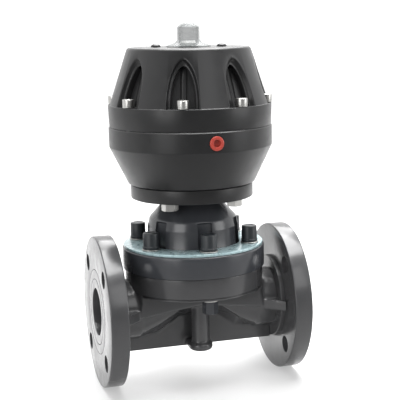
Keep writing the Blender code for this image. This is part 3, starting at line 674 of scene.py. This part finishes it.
def body_tubes():
    """The moulded underside: block, tubes, web, columns, foot and ribs, blended into each other."""
    reach, web, tube_start = COLLAR_BACK + 1, WEB_HALF_THICKNESS, TUBE_BEND_X - 4
    solids = [
        wall_block(),
        belly(),
        box("web", (-reach, -web, FOOT_Z), (reach, web, 0)),
        plate("foot_bar", foot_outline(), FOOT_Z, FOOT_Z + 9, edge=3.5),
    ]
    for side in (-1, 1):
        solids += [gusset(side, -1), gusset(side, 1)]
        solids.append(lay_along_x(rod("end_tube", TUBE_RADIUS, tube_start, reach, FINE), side))
        column = rod("column", COLUMN_RADIUS, FOOT_Z + 2, BODY_BOTTOM + 4, FINE)
        column.location.y = side * FOOT_SPACING * MM
        solids.append(bake(column))
    body = fuse("body_tubes", solids, voxel=0.9, smoothing=14)
    hole_top = FOOT_Z + INSERT_LENGTH + 0.1
    insert_holes = holes(INSERT_HOLE_RADIUS, FOOT_Z - 2, hole_top, FOOT_SPACING, (0, 180), FINE)
    combine(body, passages() + insert_holes, solver="MANIFOLD")
    done(body, "grey_pvc", "valve_body", sharp=60)


def body_flange():
    """The round flange that carries the diaphragm."""
    groove, lip = BODY_BOTTOM + 2.2, BODY_RADIUS - 0.5
    profile = [
        (0, SEAT_Z),
        (SEAT_RADIUS, SEAT_Z, 0.8),
        (SEAT_RADIUS, BODY_TOP, 0.4),
        (BODY_RADIUS, BODY_TOP, 1),
        (BODY_RADIUS, groove + 1, 0.8),
        (lip - 1.2, groove, 0.3),
        (lip, groove - 0.9, 0.4),
        (lip, BODY_BOTTOM, 0.9),
        (0, BODY_BOTTOM),
    ]
    flange = turned("body_flange", profile)
    combine(flange, passages())
    combine(flange, holes(BOLT_HOLE_RADIUS, BODY_BOTTOM - 4, BODY_TOP + 2, BOLT_CIRCLE, NUT_ANGLES))
    blind_angles = [angle for angle in BOLT_ANGLES if angle not in NUT_ANGLES]
    combine(flange, holes(BOLT_HOLE_RADIUS, BODY_BOTTOM + 2, BODY_TOP + 2, BOLT_CIRCLE, blind_angles))
    done(flange, "grey_pvc", "valve_body")


def collar(name, side):
    """End of the body's tube, with a turned line round the bore."""
    outer, inner = COLLAR_RADIUS - 0.1, TUBE_RADIUS - 1
    line, foot = 34.8, TUBE_BEND_X + 8
    profile = [
        (BORE_RADIUS, FACE_X, 0.6),
        (line - 0.4, FACE_X, 0.2),
        (line - 0.2, FACE_X - 0.8),
        (line + 0.2, FACE_X - 0.8),
        (line + 0.4, FACE_X, 0.2),
        (outer, FACE_X, 0.4),
        (outer, COLLAR_BACK, 0.8),
        (inner, COLLAR_BACK, 1.5),
        (inner, foot),
        (BORE_RADIUS, foot),
    ]
    end = turned(f"{name}_collar", profile, ring=True)
    done(lay_along_x(end, side), "grey_pvc", "valve_body")


def flange_ring(name, side):
    """Drilled ring on a collar."""
    inner = COLLAR_RADIUS + GAP
    profile = [
        (inner, FACE_X, 0.3),
        (FLANGE_RADIUS, FACE_X, 1.4),
        (FLANGE_RADIUS, FLANGE_BACK, 1.4),
        (inner, FLANGE_BACK, 0.3),
    ]
    ring = turned(f"{name}_flange_ring", profile, ring=True)
    bottom, top = FLANGE_BACK - 3, FACE_X + 3
    combine(ring, holes(FLANGE_HOLE_RADIUS, bottom, top, FLANGE_HOLE_CIRCLE, FLANGE_HOLE_ANGLES, FINE))
    done(lay_along_x(ring, side), "grey_pvc", f"{name}_flange")


def foot_inserts():
    """Threaded brass inserts in the foot."""
    core, thread_depth, half_pitch, outer = 3.0, 0.35, 0.5, 5.4
    top, thread_foot = FOOT_Z + INSERT_LENGTH, FOOT_Z + 0.9
    for number, angle in ((1, 0), (2, 180)):
        thread = [(core + thread_depth * (i % 2), thread_foot + half_pitch * i) for i in range(26)]
        profile = [(core, top), (outer, top, 0.3), (outer, FOOT_Z, 0.2), (3.9, FOOT_Z)] + thread
        insert = turned("foot_insert_detail", profile, SMALL, ring=True)
        done(put(insert, FOOT_SPACING, angle), "brass", f"foot_insert_{number}")


# ---------------------------------------------------------------- bonnet, clamp plate and their fasteners


def bonnet_pocket(angle):
    """Cutter for a pocket with a flat back and a sloping ceiling."""
    front, base = BELL_RADIUS + 8, PLATE_BOTTOM
    outline = [
        (base, -POCKET_BACK),
        (POCKET_BACK_TOP, -POCKET_BACK, 1.5),
        (POCKET_TOP, -BELL_RADIUS),
        (POCKET_TOP, -front),
        (base, -front),
    ]
    pocket = plate("pocket", outline, -POCKET_WIDTH / 2, POCKET_WIDTH / 2)
    pocket.rotation_euler.y = math.radians(-90)
    bake(pocket)
    pocket.rotation_euler.z = math.radians(angle)
    return bake(pocket)


def bonnet():
    """Dark bell with a pocket behind each body bolt."""
    neck_radius, neck_top = 22, BONNET_TOP + 13.3
    seal_radius, guide_radius, guide_foot, guide_top = 12, 8.6, 84, 106
    chamber_radius, lap_radius = 40.3, SEAT_RADIUS + 0.2
    profile = [
        (seal_radius, neck_top),
        (neck_radius, neck_top, 0.6),
        (neck_radius, BONNET_TOP),
        (27.1, BONNET_TOP, 1.5),
        (36, 107.3, 6),
        (46.2, 96.2, 7),
        (48.3, 87, 6),
        (BELL_RADIUS, RING_TOP, 0.2),
        (BONNET_RADIUS, RING_TOP, 1.8),
        (BONNET_RADIUS, BONNET_SKIRT_Z, 0.9),
        (lap_radius, BONNET_SKIRT_Z, 0.3),
        (lap_radius, BONNET_BOTTOM),
        (BOWL_RADIUS, BONNET_BOTTOM),
        (chamber_radius, 51),
        (chamber_radius, guide_foot),
        (guide_radius, guide_foot),
        (guide_radius, guide_top),
        (seal_radius, guide_top),
    ]
    bell = turned("bonnet_bell", profile, ring=True)
    combine(bell, [bonnet_pocket(angle) for angle in BOLT_ANGLES])
    hole_bottom, hole_top = 40, 70
    combine(bell, holes(BOLT_HOLE_RADIUS, hole_bottom, hole_top, BOLT_CIRCLE, BOLT_ANGLES))
    done(bell, "dark_plastic", "bonnet")


def clamp_plate():
    """Coated steel ring on the bonnet's flange."""
    inner = BELL_RADIUS + 0.7
    profile = [
        (inner, PLATE_TOP, 0.3),
        (PLATE_RADIUS, PLATE_TOP, 0.5),
        (PLATE_RADIUS, PLATE_BOTTOM, 0.3),
        (inner, PLATE_BOTTOM),
    ]
    ring = turned("clamp_ring", profile, ring=True)
    combine(ring, holes(BOLT_HOLE_RADIUS, PLATE_BOTTOM - 4, PLATE_TOP + 4, BOLT_CIRCLE, BOLT_ANGLES))
    done(ring, "coated_steel", "clamp_plate")


def body_bolt(number, angle):
    """Flanged hexagon bolt."""
    seat, foot = PLATE_TOP + GAP, low(f"body_bolt_{number}")
    rim, shank = 9.4, 3.9
    profile = [
        (0, seat + 1.6),
        (7.5, seat + 1.6, 0.5),
        (rim, seat + 0.9, 0.3),
        (rim, seat, 0.2),
        (shank, seat, 0.2),
        (shank, foot + 0.8),
        (3.2, foot),
        (0, foot),
    ]
    bolt = turned("body_bolt_detail", profile, SMALL)
    combine(bolt, [bolt_head("head", 12, seat + 1, seat + 7)], "UNION")
    done(put(bolt, BOLT_CIRCLE, angle), "stainless", f"body_bolt_{number}")


def bolt_cap(number, angle):
    """Black cap over a body bolt, dished on top."""
    base, top, inside = low(f"bolt_cap_{number}"), high(f"bolt_cap_{number}"), 7.3
    profile = [
        (0, top - 0.5),
        (4.6, top - 0.5, 0.2),
        (5.1, top, 0.2),
        (8.0, top, 1.2),
        (8.2, base + 2.6, 0.4),
        (8.7, base + 2.0, 0.4),
        (8.7, base, 0.3),
        (inside, base, 0.2),
        (inside, base + 6.5),
        (0, base + 6.5),
    ]
    cap = turned("bolt_cap_detail", profile, SMALL)
    done(put(cap, BOLT_CIRCLE, angle), "cap_plastic", f"bolt_cap_{number}")


def nut_washer(number, angle):
    """Flat washer under the body."""
    base, top = low(f"nut_washer_{number}"), high(f"nut_washer_{number}")
    outer = 8.7
    profile = [
        (BOLT_HOLE_RADIUS, top, 0.2),
        (outer, top, 0.3),
        (outer, base, 0.3),
        (BOLT_HOLE_RADIUS, base, 0.2),
    ]
    washer = turned("washer_detail", profile, SMALL, ring=True)
    done(put(washer, BOLT_CIRCLE, angle), "stainless", f"nut_washer_{number}")


def body_nut(number, angle):
    """Closed plastic nut under a washer."""
    base, top = low(f"body_nut_{number}"), high(f"body_nut_{number}")
    nut = bolt_head("nut_detail", 14, base, top, chamfer_up=False)
    nut.rotation_euler.z = math.radians(12)
    bake(nut)
    combine(nut, [rod("nut_bore", BOLT_HOLE_RADIUS, base + 3, top + 2)])
    done(put(nut, BOLT_CIRCLE, angle), "dark_plastic", f"body_nut_{number}")


# ---------------------------------------------------------------- actuator


def actuator_base():
    """Disc under the actuator."""
    inner = 22.3
    profile = [
        (inner, BASE_TOP, 0.3),
        (BASE_RADIUS, BASE_TOP, 0.7),
        (BASE_RADIUS, BASE_BOTTOM, 1.2),
        (inner, BASE_BOTTOM, 0.3),
    ]
    disc = turned("base_disc", profile, ring=True)
    bottom, top = BASE_BOTTOM - 2, BASE_TOP + 2
    combine(disc, holes(BASE_BOLT_HOLE_RADIUS, bottom, top, BASE_BOLT_CIRCLE, BASE_BOLT_ANGLES))
    done(disc, "black_plastic", "actuator_base")


def base_bolt(number, angle):
    """Hexagon bolt with its head under the disc."""
    base, top = low(f"base_bolt_{number}"), high(f"base_bolt_{number}")
    seat, shank, shoulder = BASE_BOTTOM - GAP, 4.9, 7.4
    bolt = bolt_head("base_bolt_detail", 15, base, seat - 0.5, chamfer_up=False)
    profile = [
        (0, top),
        (4.2, top),
        (shank, top - 0.8),
        (shank, seat),
        (shoulder, seat),
        (shoulder, seat - 0.6),
        (0, seat - 0.6),
    ]
    combine(bolt, [turned("shank", profile, SMALL)], "UNION")
    done(put(bolt, BASE_BOLT_CIRCLE, angle), "stainless", f"base_bolt_{number}")


def lower_housing():
    """Band and cone of the air chamber, with the port."""
    rim, rim_floor, wall = 84.6, LOWER_TOP - 2.2, 74
    guide_radius, seal_radius, guide_top = 8.6, 11.6, 141
    profile = [
        (rim, LOWER_TOP),
        (HEAD_RADIUS - 1, LOWER_TOP),
        (HEAD_RADIUS, LOWER_TOP - 1),
        (HEAD_RADIUS, LOWER_BEND, 2.5),
        (67.3, LOWER_BOTTOM + 1.1, 0.8),
        (65.2, LOWER_BOTTOM + 0.9, 0.3),
        (64.4, LOWER_BOTTOM),
        (guide_radius, LOWER_BOTTOM),
        (guide_radius, guide_top),
        (seal_radius, guide_top),
        (seal_radius, CHAMBER_FLOOR),
        (56, CHAMBER_FLOOR, 4),
        (66, 150, 6),
        (wall, 173, 4),
        (wall, rim_floor),
        (rim, rim_floor),
    ]
    housing = turned("lower_housing_detail", profile, ring=True)
    screw_foot, bolt_top = 177, guide_top + 0.5
    combine(housing, holes(SCREW_HOLE_RADIUS, screw_foot, LOWER_TOP + 2, SCREW_CIRCLE, WINDOW_ANGLES))
    bolt_holes = holes(BASE_BOLT_HOLE_RADIUS, LOWER_BOTTOM - 2, bolt_top, BASE_BOLT_CIRCLE, BASE_BOLT_ANGLES)
    combine(housing, bolt_holes)
    port_start, seat_start, outside = 70, 80, 92
    port = aim(rod("port", 3.7, port_start, outside))
    plug_seat = aim(rod("plug_seat", 7.7, seat_start, outside))
    combine(housing, [port, plug_seat])
    done(housing, "black_plastic", "lower_housing")


def aim(obj):
    """Turn a piece made on Z so that its top points out of the air port."""
    obj.rotation_euler = (math.radians(90), 0, math.radians(HEAD_TURN))
    obj.location.z = PORT_Z * MM
    return bake(obj)


def port_plug():
    """Red plug with a round recess."""
    front, seat, tip = HEAD_RADIUS + 0.9, 80.3, 76
    recess_floor, rim, nose = front - 4.5, 7.4, 3.4
    profile = [
        (0, recess_floor),
        (3.5, recess_floor, 0.4),
        (3.9, front, 0.4),
        (rim, front, 0.8),
        (rim, seat, 0.3),
        (nose, seat, 0.2),
        (nose, tip, 0.4),
        (0, tip),
    ]
    plug = turned("port_plug_detail", profile, SMALL)
    done(aim(plug), "red_plastic", "port_plug")


def cone_radius(height):
    """Outer radius of the bell above the ledge."""
    return CONE_FOOT_RADIUS - CONE_SLOPE * (height - LEDGE_Z)


def window_ring(shape, inset, depth, steps=20):
    """One outline of a window, moved in from the edge and back from the cone's surface."""
    fullness, point = 2.3, 0.6
    half_width, rise = WINDOW_HALF_WIDTH - inset, WINDOW_PEAK - LEDGE_Z - 1.9 * inset
    side = []
    for i in range(steps + 1):
        share = math.sin(math.pi / 2 * i / steps)
        side.append((half_width * (1 - share**fullness) ** point, LEDGE_Z + rise * share))
    outline = side + [(-x, z) for x, z in reversed(side[:-1])]
    ring = []
    for x, z in outline:
        surface = math.sqrt(cone_radius(z) ** 2 - x**2)
        ring.append(shape.verts.new((x * MM, (depth - surface) * MM, z * MM)))
    return ring


def window_cutter():
    """A pointed recess with a rounded edge and a step in its flanks, from (inset, depth) pairs."""
    edge = [(-1.6, -4), (-0.9, -0.25), (-0.2, 0), (0.4, 0.25), (0.9, 0.8), (1.2, 1.6)]
    flank = [(2.0, 3.6), (2.9, 5.0), (3.6, 5.5), (4.2, 5.6), (4.5, 6.0), (4.8, 7.5), (5.3, 12)]
    shape = bmesh.new()
    rings = [window_ring(shape, inset, depth) for inset, depth in edge + flank]
    return loft("window", shape, rings)


def channel_cutter(angle):
    """A round channel up the back of a window, leaning with the cone."""
    radius, rise, depth = 4, 22, 10.5
    middle = LEDGE_Z + rise
    channel = rod("channel", radius, -rise, 20)
    channel.rotation_euler.x = -math.atan(CONE_SLOPE)
    channel.location = (0, -(cone_radius(middle) - depth) * MM, middle * MM)
    bake(channel)
    channel.rotation_euler.z = math.radians(angle)
    return bake(channel)


def upper_housing():
    """Bell with eight pointed windows over the ledge."""
    wall, hub_radius, hub_floor, hub_wall = 63, 12.5, 271.2, 15.8
    profile = [
        (hub_wall, HEAD_TOP, 0.3),
        (cone_radius(HEAD_TOP), HEAD_TOP, 3.5),
        (CONE_FOOT_RADIUS, LEDGE_Z, 0.8),
        (HEAD_RADIUS, LEDGE_Z, 0.7),
        (HEAD_RADIUS - 0.9, UPPER_BOTTOM, 0.3),
        (wall, UPPER_BOTTOM),
        (wall, 226, 3),
        (47, CHAMBER_CEILING, 3),
        (hub_radius, CHAMBER_CEILING),
        (hub_radius, hub_floor),
        (hub_wall, hub_floor),
    ]
    housing = turned("upper_housing_detail", profile, ring=True)
    cutters = []
    for angle in WINDOW_ANGLES:
        window = window_cutter()
        window.rotation_euler.z = math.radians(angle)
        cutters.append(bake(window))
        cutters.append(channel_cutter(angle))
    combine(housing, cutters)
    combine(housing, holes(SCREW_HOLE_RADIUS, UPPER_BOTTOM - 2, LEDGE_Z + 2, SCREW_CIRCLE, WINDOW_ANGLES))
    bottom, top = HEAD_TOP - 5.5, HEAD_TOP + 2
    combine(housing, holes(TOP_PLUG_HOLE_RADIUS, bottom, top, TOP_PLUG_CIRCLE, TOP_PLUG_ANGLES))
    done(housing, "black_plastic", "upper_housing")


def housing_screw(number, angle):
    """Socket-head screw on the ledge."""
    foot, top = low(f"housing_screw_{number}"), high(f"housing_screw_{number}")
    seat, head, shank = LEDGE_Z + GAP, 5.9, 2.9
    profile = [
        (0, top),
        (head, top, 0.7),
        (head, seat, 0.3),
        (shank, seat, 0.2),
        (shank, foot + 0.7),
        (2.3, foot),
        (0, foot),
    ]
    screw = turned("housing_screw_detail", profile, SMALL)
    combine(screw, [hexagon("socket", 5, top - 4, top + 2)])
    done(put(screw, SCREW_CIRCLE, angle), "stainless", f"housing_screw_{number}")


# ---------------------------------------------------------------- pieces that flatten as the stem lifts


def flattens(obj, slot, node):
    """Finish a piece of the fixed body that flattens towards its clamped height as the stem lifts."""
    done(obj, slot, node)
    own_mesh(obj)


def closing_spring(node, radius, wire, turns, per_turn=48):
    """A coil between the disc and the ceiling of the upper housing."""
    foot, top = low(node) + wire, high(node) - wire
    points = []
    for i in range(turns * per_turn + 1):
        angle = 2 * math.pi * i / per_turn
        height = foot + (top - foot) * i / (turns * per_turn)
        points.append((radius * math.cos(angle), radius * math.sin(angle), height))
    spring = path_tube(f"{node}_detail", points, wire, resolution=5)
    flattens(spring, "spring_steel", node)


def valve_diaphragm():
    """Rubber diaphragm, pressed down on the weir."""
    rim, bottom, top = SEAT_RADIUS - 1, SEAT_Z + GAP, SEAT_Z + GAP + DIAPHRAGM_THICKNESS
    lower = [(radius, z + GAP) for radius, z in bowl_profile()]
    upper = [(radius, z + DIAPHRAGM_THICKNESS) for radius, z in reversed(lower)]
    profile = upper + [(rim, top, 1), (rim, bottom, 1)] + lower
    diaphragm = turned("valve_diaphragm_detail", profile)
    bolt_hole_radius = 5
    combine(diaphragm, holes(bolt_hole_radius, bottom - 5, bottom + 10, BOLT_CIRCLE, BOLT_ANGLES))
    flattens(diaphragm, "rubber", "valve_diaphragm")


def actuator_diaphragm():
    """Rubber dish between the air chamber and the springs."""
    top, clamp_z, underside = LOWER_TOP - GAP, 192.6, 191.7
    hole_bottom, hole_top = 185, 200
    bore, rim, floor, floor_top = 8.3, 84.3, 149.7, 152.4
    profile = [
        (bore, floor_top),
        (54.6, floor_top, 3),
        (59.6, 156, 3),
        (66, 176),
        (71.5, top, 2),
        (rim, top, 0.5),
        (rim, underside, 0.5),
        (73.4, underside, 1),
        (68.3, 175.4),
        (61.8, 154, 3),
        (55.6, floor, 4),
        (bore, floor),
    ]
    dish = turned("actuator_diaphragm_detail", profile, ring=True)
    combine(dish, holes(SCREW_HOLE_RADIUS, hole_bottom, hole_top, SCREW_CIRCLE, WINDOW_ANGLES))
    flattens(dish, "rubber", "actuator_diaphragm")


# ---------------------------------------------------------------- indicator


def indicator_cap():
    """Clear cap with a domed top and a flared foot."""
    outer, inner, foot, inner_foot = 11.85, 10.35, 23.2, 12.2
    base, centre = HEAD_TOP + GAP, 283.9
    dome = [(16.7 * math.sin(a), centre + 16.7 * math.cos(a)) for a in (0, 0.13, 0.26, 0.39, 0.52, 0.65)]
    hollow = [(15.2 * math.sin(a), centre + 15.2 * math.cos(a)) for a in (0.63, 0.5, 0.37, 0.24, 0.12, 0)]
    profile = dome + [
        (outer, 295.6, 1.2),
        (outer, 282.5, 1.2),
        (14.2, 279.6, 3),
        (foot, 276.4, 0.3),
        (foot, base, 0.2),
        (inner_foot, base),
        (inner_foot, CAP_FOOT_Z),
        (inner, CAP_FOOT_Z),
        (inner, 295.4, 1),
    ]
    cap = turned("indicator_cap_detail", profile + hollow, FINE)
    done(cap, "clear_plastic", "indicator_cap")


def indicator_rod():
    """Rod on the stem, with a knob that shows in the cap."""
    foot, shank, knob_radius = low("indicator_rod"), 3.4, 8.8
    knob = foot + 101.9
    profile = [
        (0, knob + 5.2),
        (6, knob + 5.2, 0.6),
        (knob_radius, knob + 3.2, 0.5),
        (knob_radius, knob, 0.5),
        (shank, knob, 0.4),
        (shank, foot),
        (0, foot),
    ]
    done(turned("indicator_rod_detail", profile, SMALL), "white_plastic", "indicator_rod", body="stem_set")


def top_plug(number, angle):
    """Small domed plug on the top face."""
    foot, base = low(f"top_plug_{number}"), HEAD_TOP + GAP
    head, shank, rise, edge = 5.2, 2.5, 2.7, base + 0.5
    dome_angles = (0, 0.26, 0.52, 0.79, 1.05, 1.31)
    dome = [(head * math.sin(a), edge + rise * math.cos(a)) for a in dome_angles]
    profile = dome + [(head, edge), (head, base, 0.2), (shank, base), (shank, foot, 0.3), (0, foot)]
    plug = turned("top_plug_detail", profile, SMALL)
    done(put(plug, TOP_PLUG_CIRCLE, angle), "black_plastic", f"top_plug_{number}")


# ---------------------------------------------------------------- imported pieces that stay


def kept_nodes():
    """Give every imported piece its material. Those inside the valve that have no finer piece show it."""
    slots = {entry["node"]: entry["material_slot"] for entry in frame["record"]["subparts"]}
    for node, obj in frame["nodes"].items():
        obj.data.materials.clear()
        obj.data.materials.append(MATERIALS[slots[node]])


# ---------------------------------------------------------------- stage

LIT_POINT = (0, 0, 0.1)  # where the lights aim, in metres


def painted_light_floor():
    """Floor that glows a little, as painted light that fills the valve's shadow, and whose tone is painted
    darker in front of the valve than behind it, as painted shade for the valve's front to reflect.
    """
    half_width, near, far = 6, -0.4, 4
    shape = bmesh.new()
    bmesh.ops.create_grid(shape, x_segments=1, y_segments=1, size=half_width)
    floor = from_bmesh("floor", shape)
    floor.location.z = CAD_BOX[0].z
    paint = Shader("floor", (0.9, 0.9, 0.9), 0.6)
    # Painted shade: the floor's colour and glow run from dark in front of the valve to pale behind it, so
    # the valve's front faces reflect a dark floor.
    depth = paint.node("ShaderNodeSeparateXYZ", Vector=paint.place).outputs["Y"]
    share = paint.ranged(depth, bottom=0, top=1, start=near, end=far)
    painted_shade_ramp = paint.node("ShaderNodeValToRGB", Fac=share)
    stops = painted_shade_ramp.color_ramp.elements
    for position in (0.041, 0.091):
        stops.new(position)
    for stop, painted_shade_tone in zip(stops, (0.12, 0.2, 0.42, 0.5)):
        stop.color = (painted_shade_tone, painted_shade_tone, painted_shade_tone, 1)
    for socket in ("Base Color", "Emission Color"):
        paint.feed(paint.principled.inputs[socket], painted_shade_ramp.outputs["Color"])
    # The glow is painted light: it brightens the floor in the valve's shadow and lights the valve's
    # underside from below.
    paint.set("Emission Strength", 1.0)
    floor.data.materials.append(paint.material)


def soft_lights():
    """Soft boxes round the valve, placed in metres."""
    soft_light("top", place=(0.2, 0.1, 1.7), size=1.4, power=80)
    soft_light("back", place=(0.5, 1.3, 1.5), size=1.0, power=20)
    soft_light("left", place=(-1.5, -1.3, 0.5), size=1.0, power=14)
    soft_light("right", place=(1.7, -1.1, 0.5), size=1.0, power=13)
    soft_light("front", place=(0.5, -1.9, 1.4), size=1.3, power=12)


def surround():
    """A white tent that is open, and so darker, at the front."""
    world = bpy.data.worlds.new("surround")
    bpy.context.scene.world = world
    world.use_nodes = True
    nodes, links = world.node_tree.nodes, world.node_tree.links
    towards = nodes.new("ShaderNodeTexCoord").outputs["Generated"]
    split = nodes.new("ShaderNodeSeparateXYZ")
    links.new(towards, split.inputs[0])
    shade = nodes.new("ShaderNodeMapRange")
    shade.interpolation_type = "SMOOTHSTEP"
    links.new(split.outputs["Y"], shade.inputs["Value"])
    for name, value in (("From Min", -0.75), ("From Max", 0.1), ("To Min", 0.15), ("To Max", 1.35)):
        shade.inputs[name].default_value = value
    links.new(shade.outputs[0], nodes["Background"].inputs["Strength"])
    nodes["Background"].inputs["Color"].default_value = (1, 1, 1, 1)


def soft_light(name, place, size, power):
    """A square soft box that faces the valve."""
    light = bpy.data.lights.new(name, "AREA")
    light.shape = "SQUARE"
    light.size = size
    light.energy = power
    obj = bpy.data.objects.new(name, light)
    bpy.context.scene.collection.objects.link(obj)
    obj.location = place
    direction = Vector(LIT_POINT) - Vector(place)
    obj.rotation_euler = direction.to_track_quat("-Z", "Y").to_euler()


def camera():
    """Long lens in front of the valve, to its left and just above the height of its top."""
    place = (-0.29574, -1.10967, 0.30732)
    yaw, pitch, roll = 0.31815, 0.16947, -0.01426
    forward = Vector((math.sin(yaw) * math.cos(pitch), math.cos(yaw) * math.cos(pitch), -math.sin(pitch)))
    side = Vector((math.cos(yaw), -math.sin(yaw), 0))
    upright = side.cross(forward)
    right = side * math.cos(roll) + upright * math.sin(roll)
    up = upright * math.cos(roll) - side * math.sin(roll)
    view = bpy.data.cameras.new("camera")
    view.sensor_width = 36
    view.lens = 97.79
    view.shift_x = -0.1354
    view.shift_y = 0.0012
    view.clip_start = 0.01
    obj = bpy.data.objects.new("camera", view)
    bpy.context.scene.collection.objects.link(obj)
    turn = Matrix((right, up, -forward)).transposed().to_4x4()
    obj.matrix_world = Matrix.Translation(place) @ turn
    bpy.context.scene.camera = obj
    bpy.context.scene.view_settings.view_transform = "Standard"


kept_nodes()
body_tubes()
body_flange()
for end_name, end_side in (("inlet", -1), ("outlet", 1)):
    collar(end_name, end_side)
    flange_ring(end_name, end_side)
foot_inserts()
bonnet()
clamp_plate()
for bolt_number, bolt_angle in enumerate(BOLT_ANGLES, 1):
    body_bolt(bolt_number, bolt_angle)
    bolt_cap(bolt_number, bolt_angle)
for nut_number, nut_angle in enumerate(NUT_ANGLES, 1):
    nut_washer(nut_number, nut_angle)
    body_nut(nut_number, nut_angle)
actuator_base()
for bolt_number, bolt_angle in enumerate(BASE_BOLT_ANGLES, 1):
    base_bolt(bolt_number, bolt_angle)
lower_housing()
port_plug()
upper_housing()
for screw_number, screw_angle in enumerate(WINDOW_ANGLES, 1):
    housing_screw(screw_number, screw_angle)
closing_spring("outer_spring", radius=41, wire=2.5, turns=4)
closing_spring("inner_spring", radius=23, wire=2, turns=5)
valve_diaphragm()
actuator_diaphragm()
indicator_cap()
indicator_rod()
for plug_number, plug_angle in enumerate(TOP_PLUG_ANGLES, 1):
    top_plug(plug_number, plug_angle)
painted_light_floor()
surround()
soft_lights()
camera()
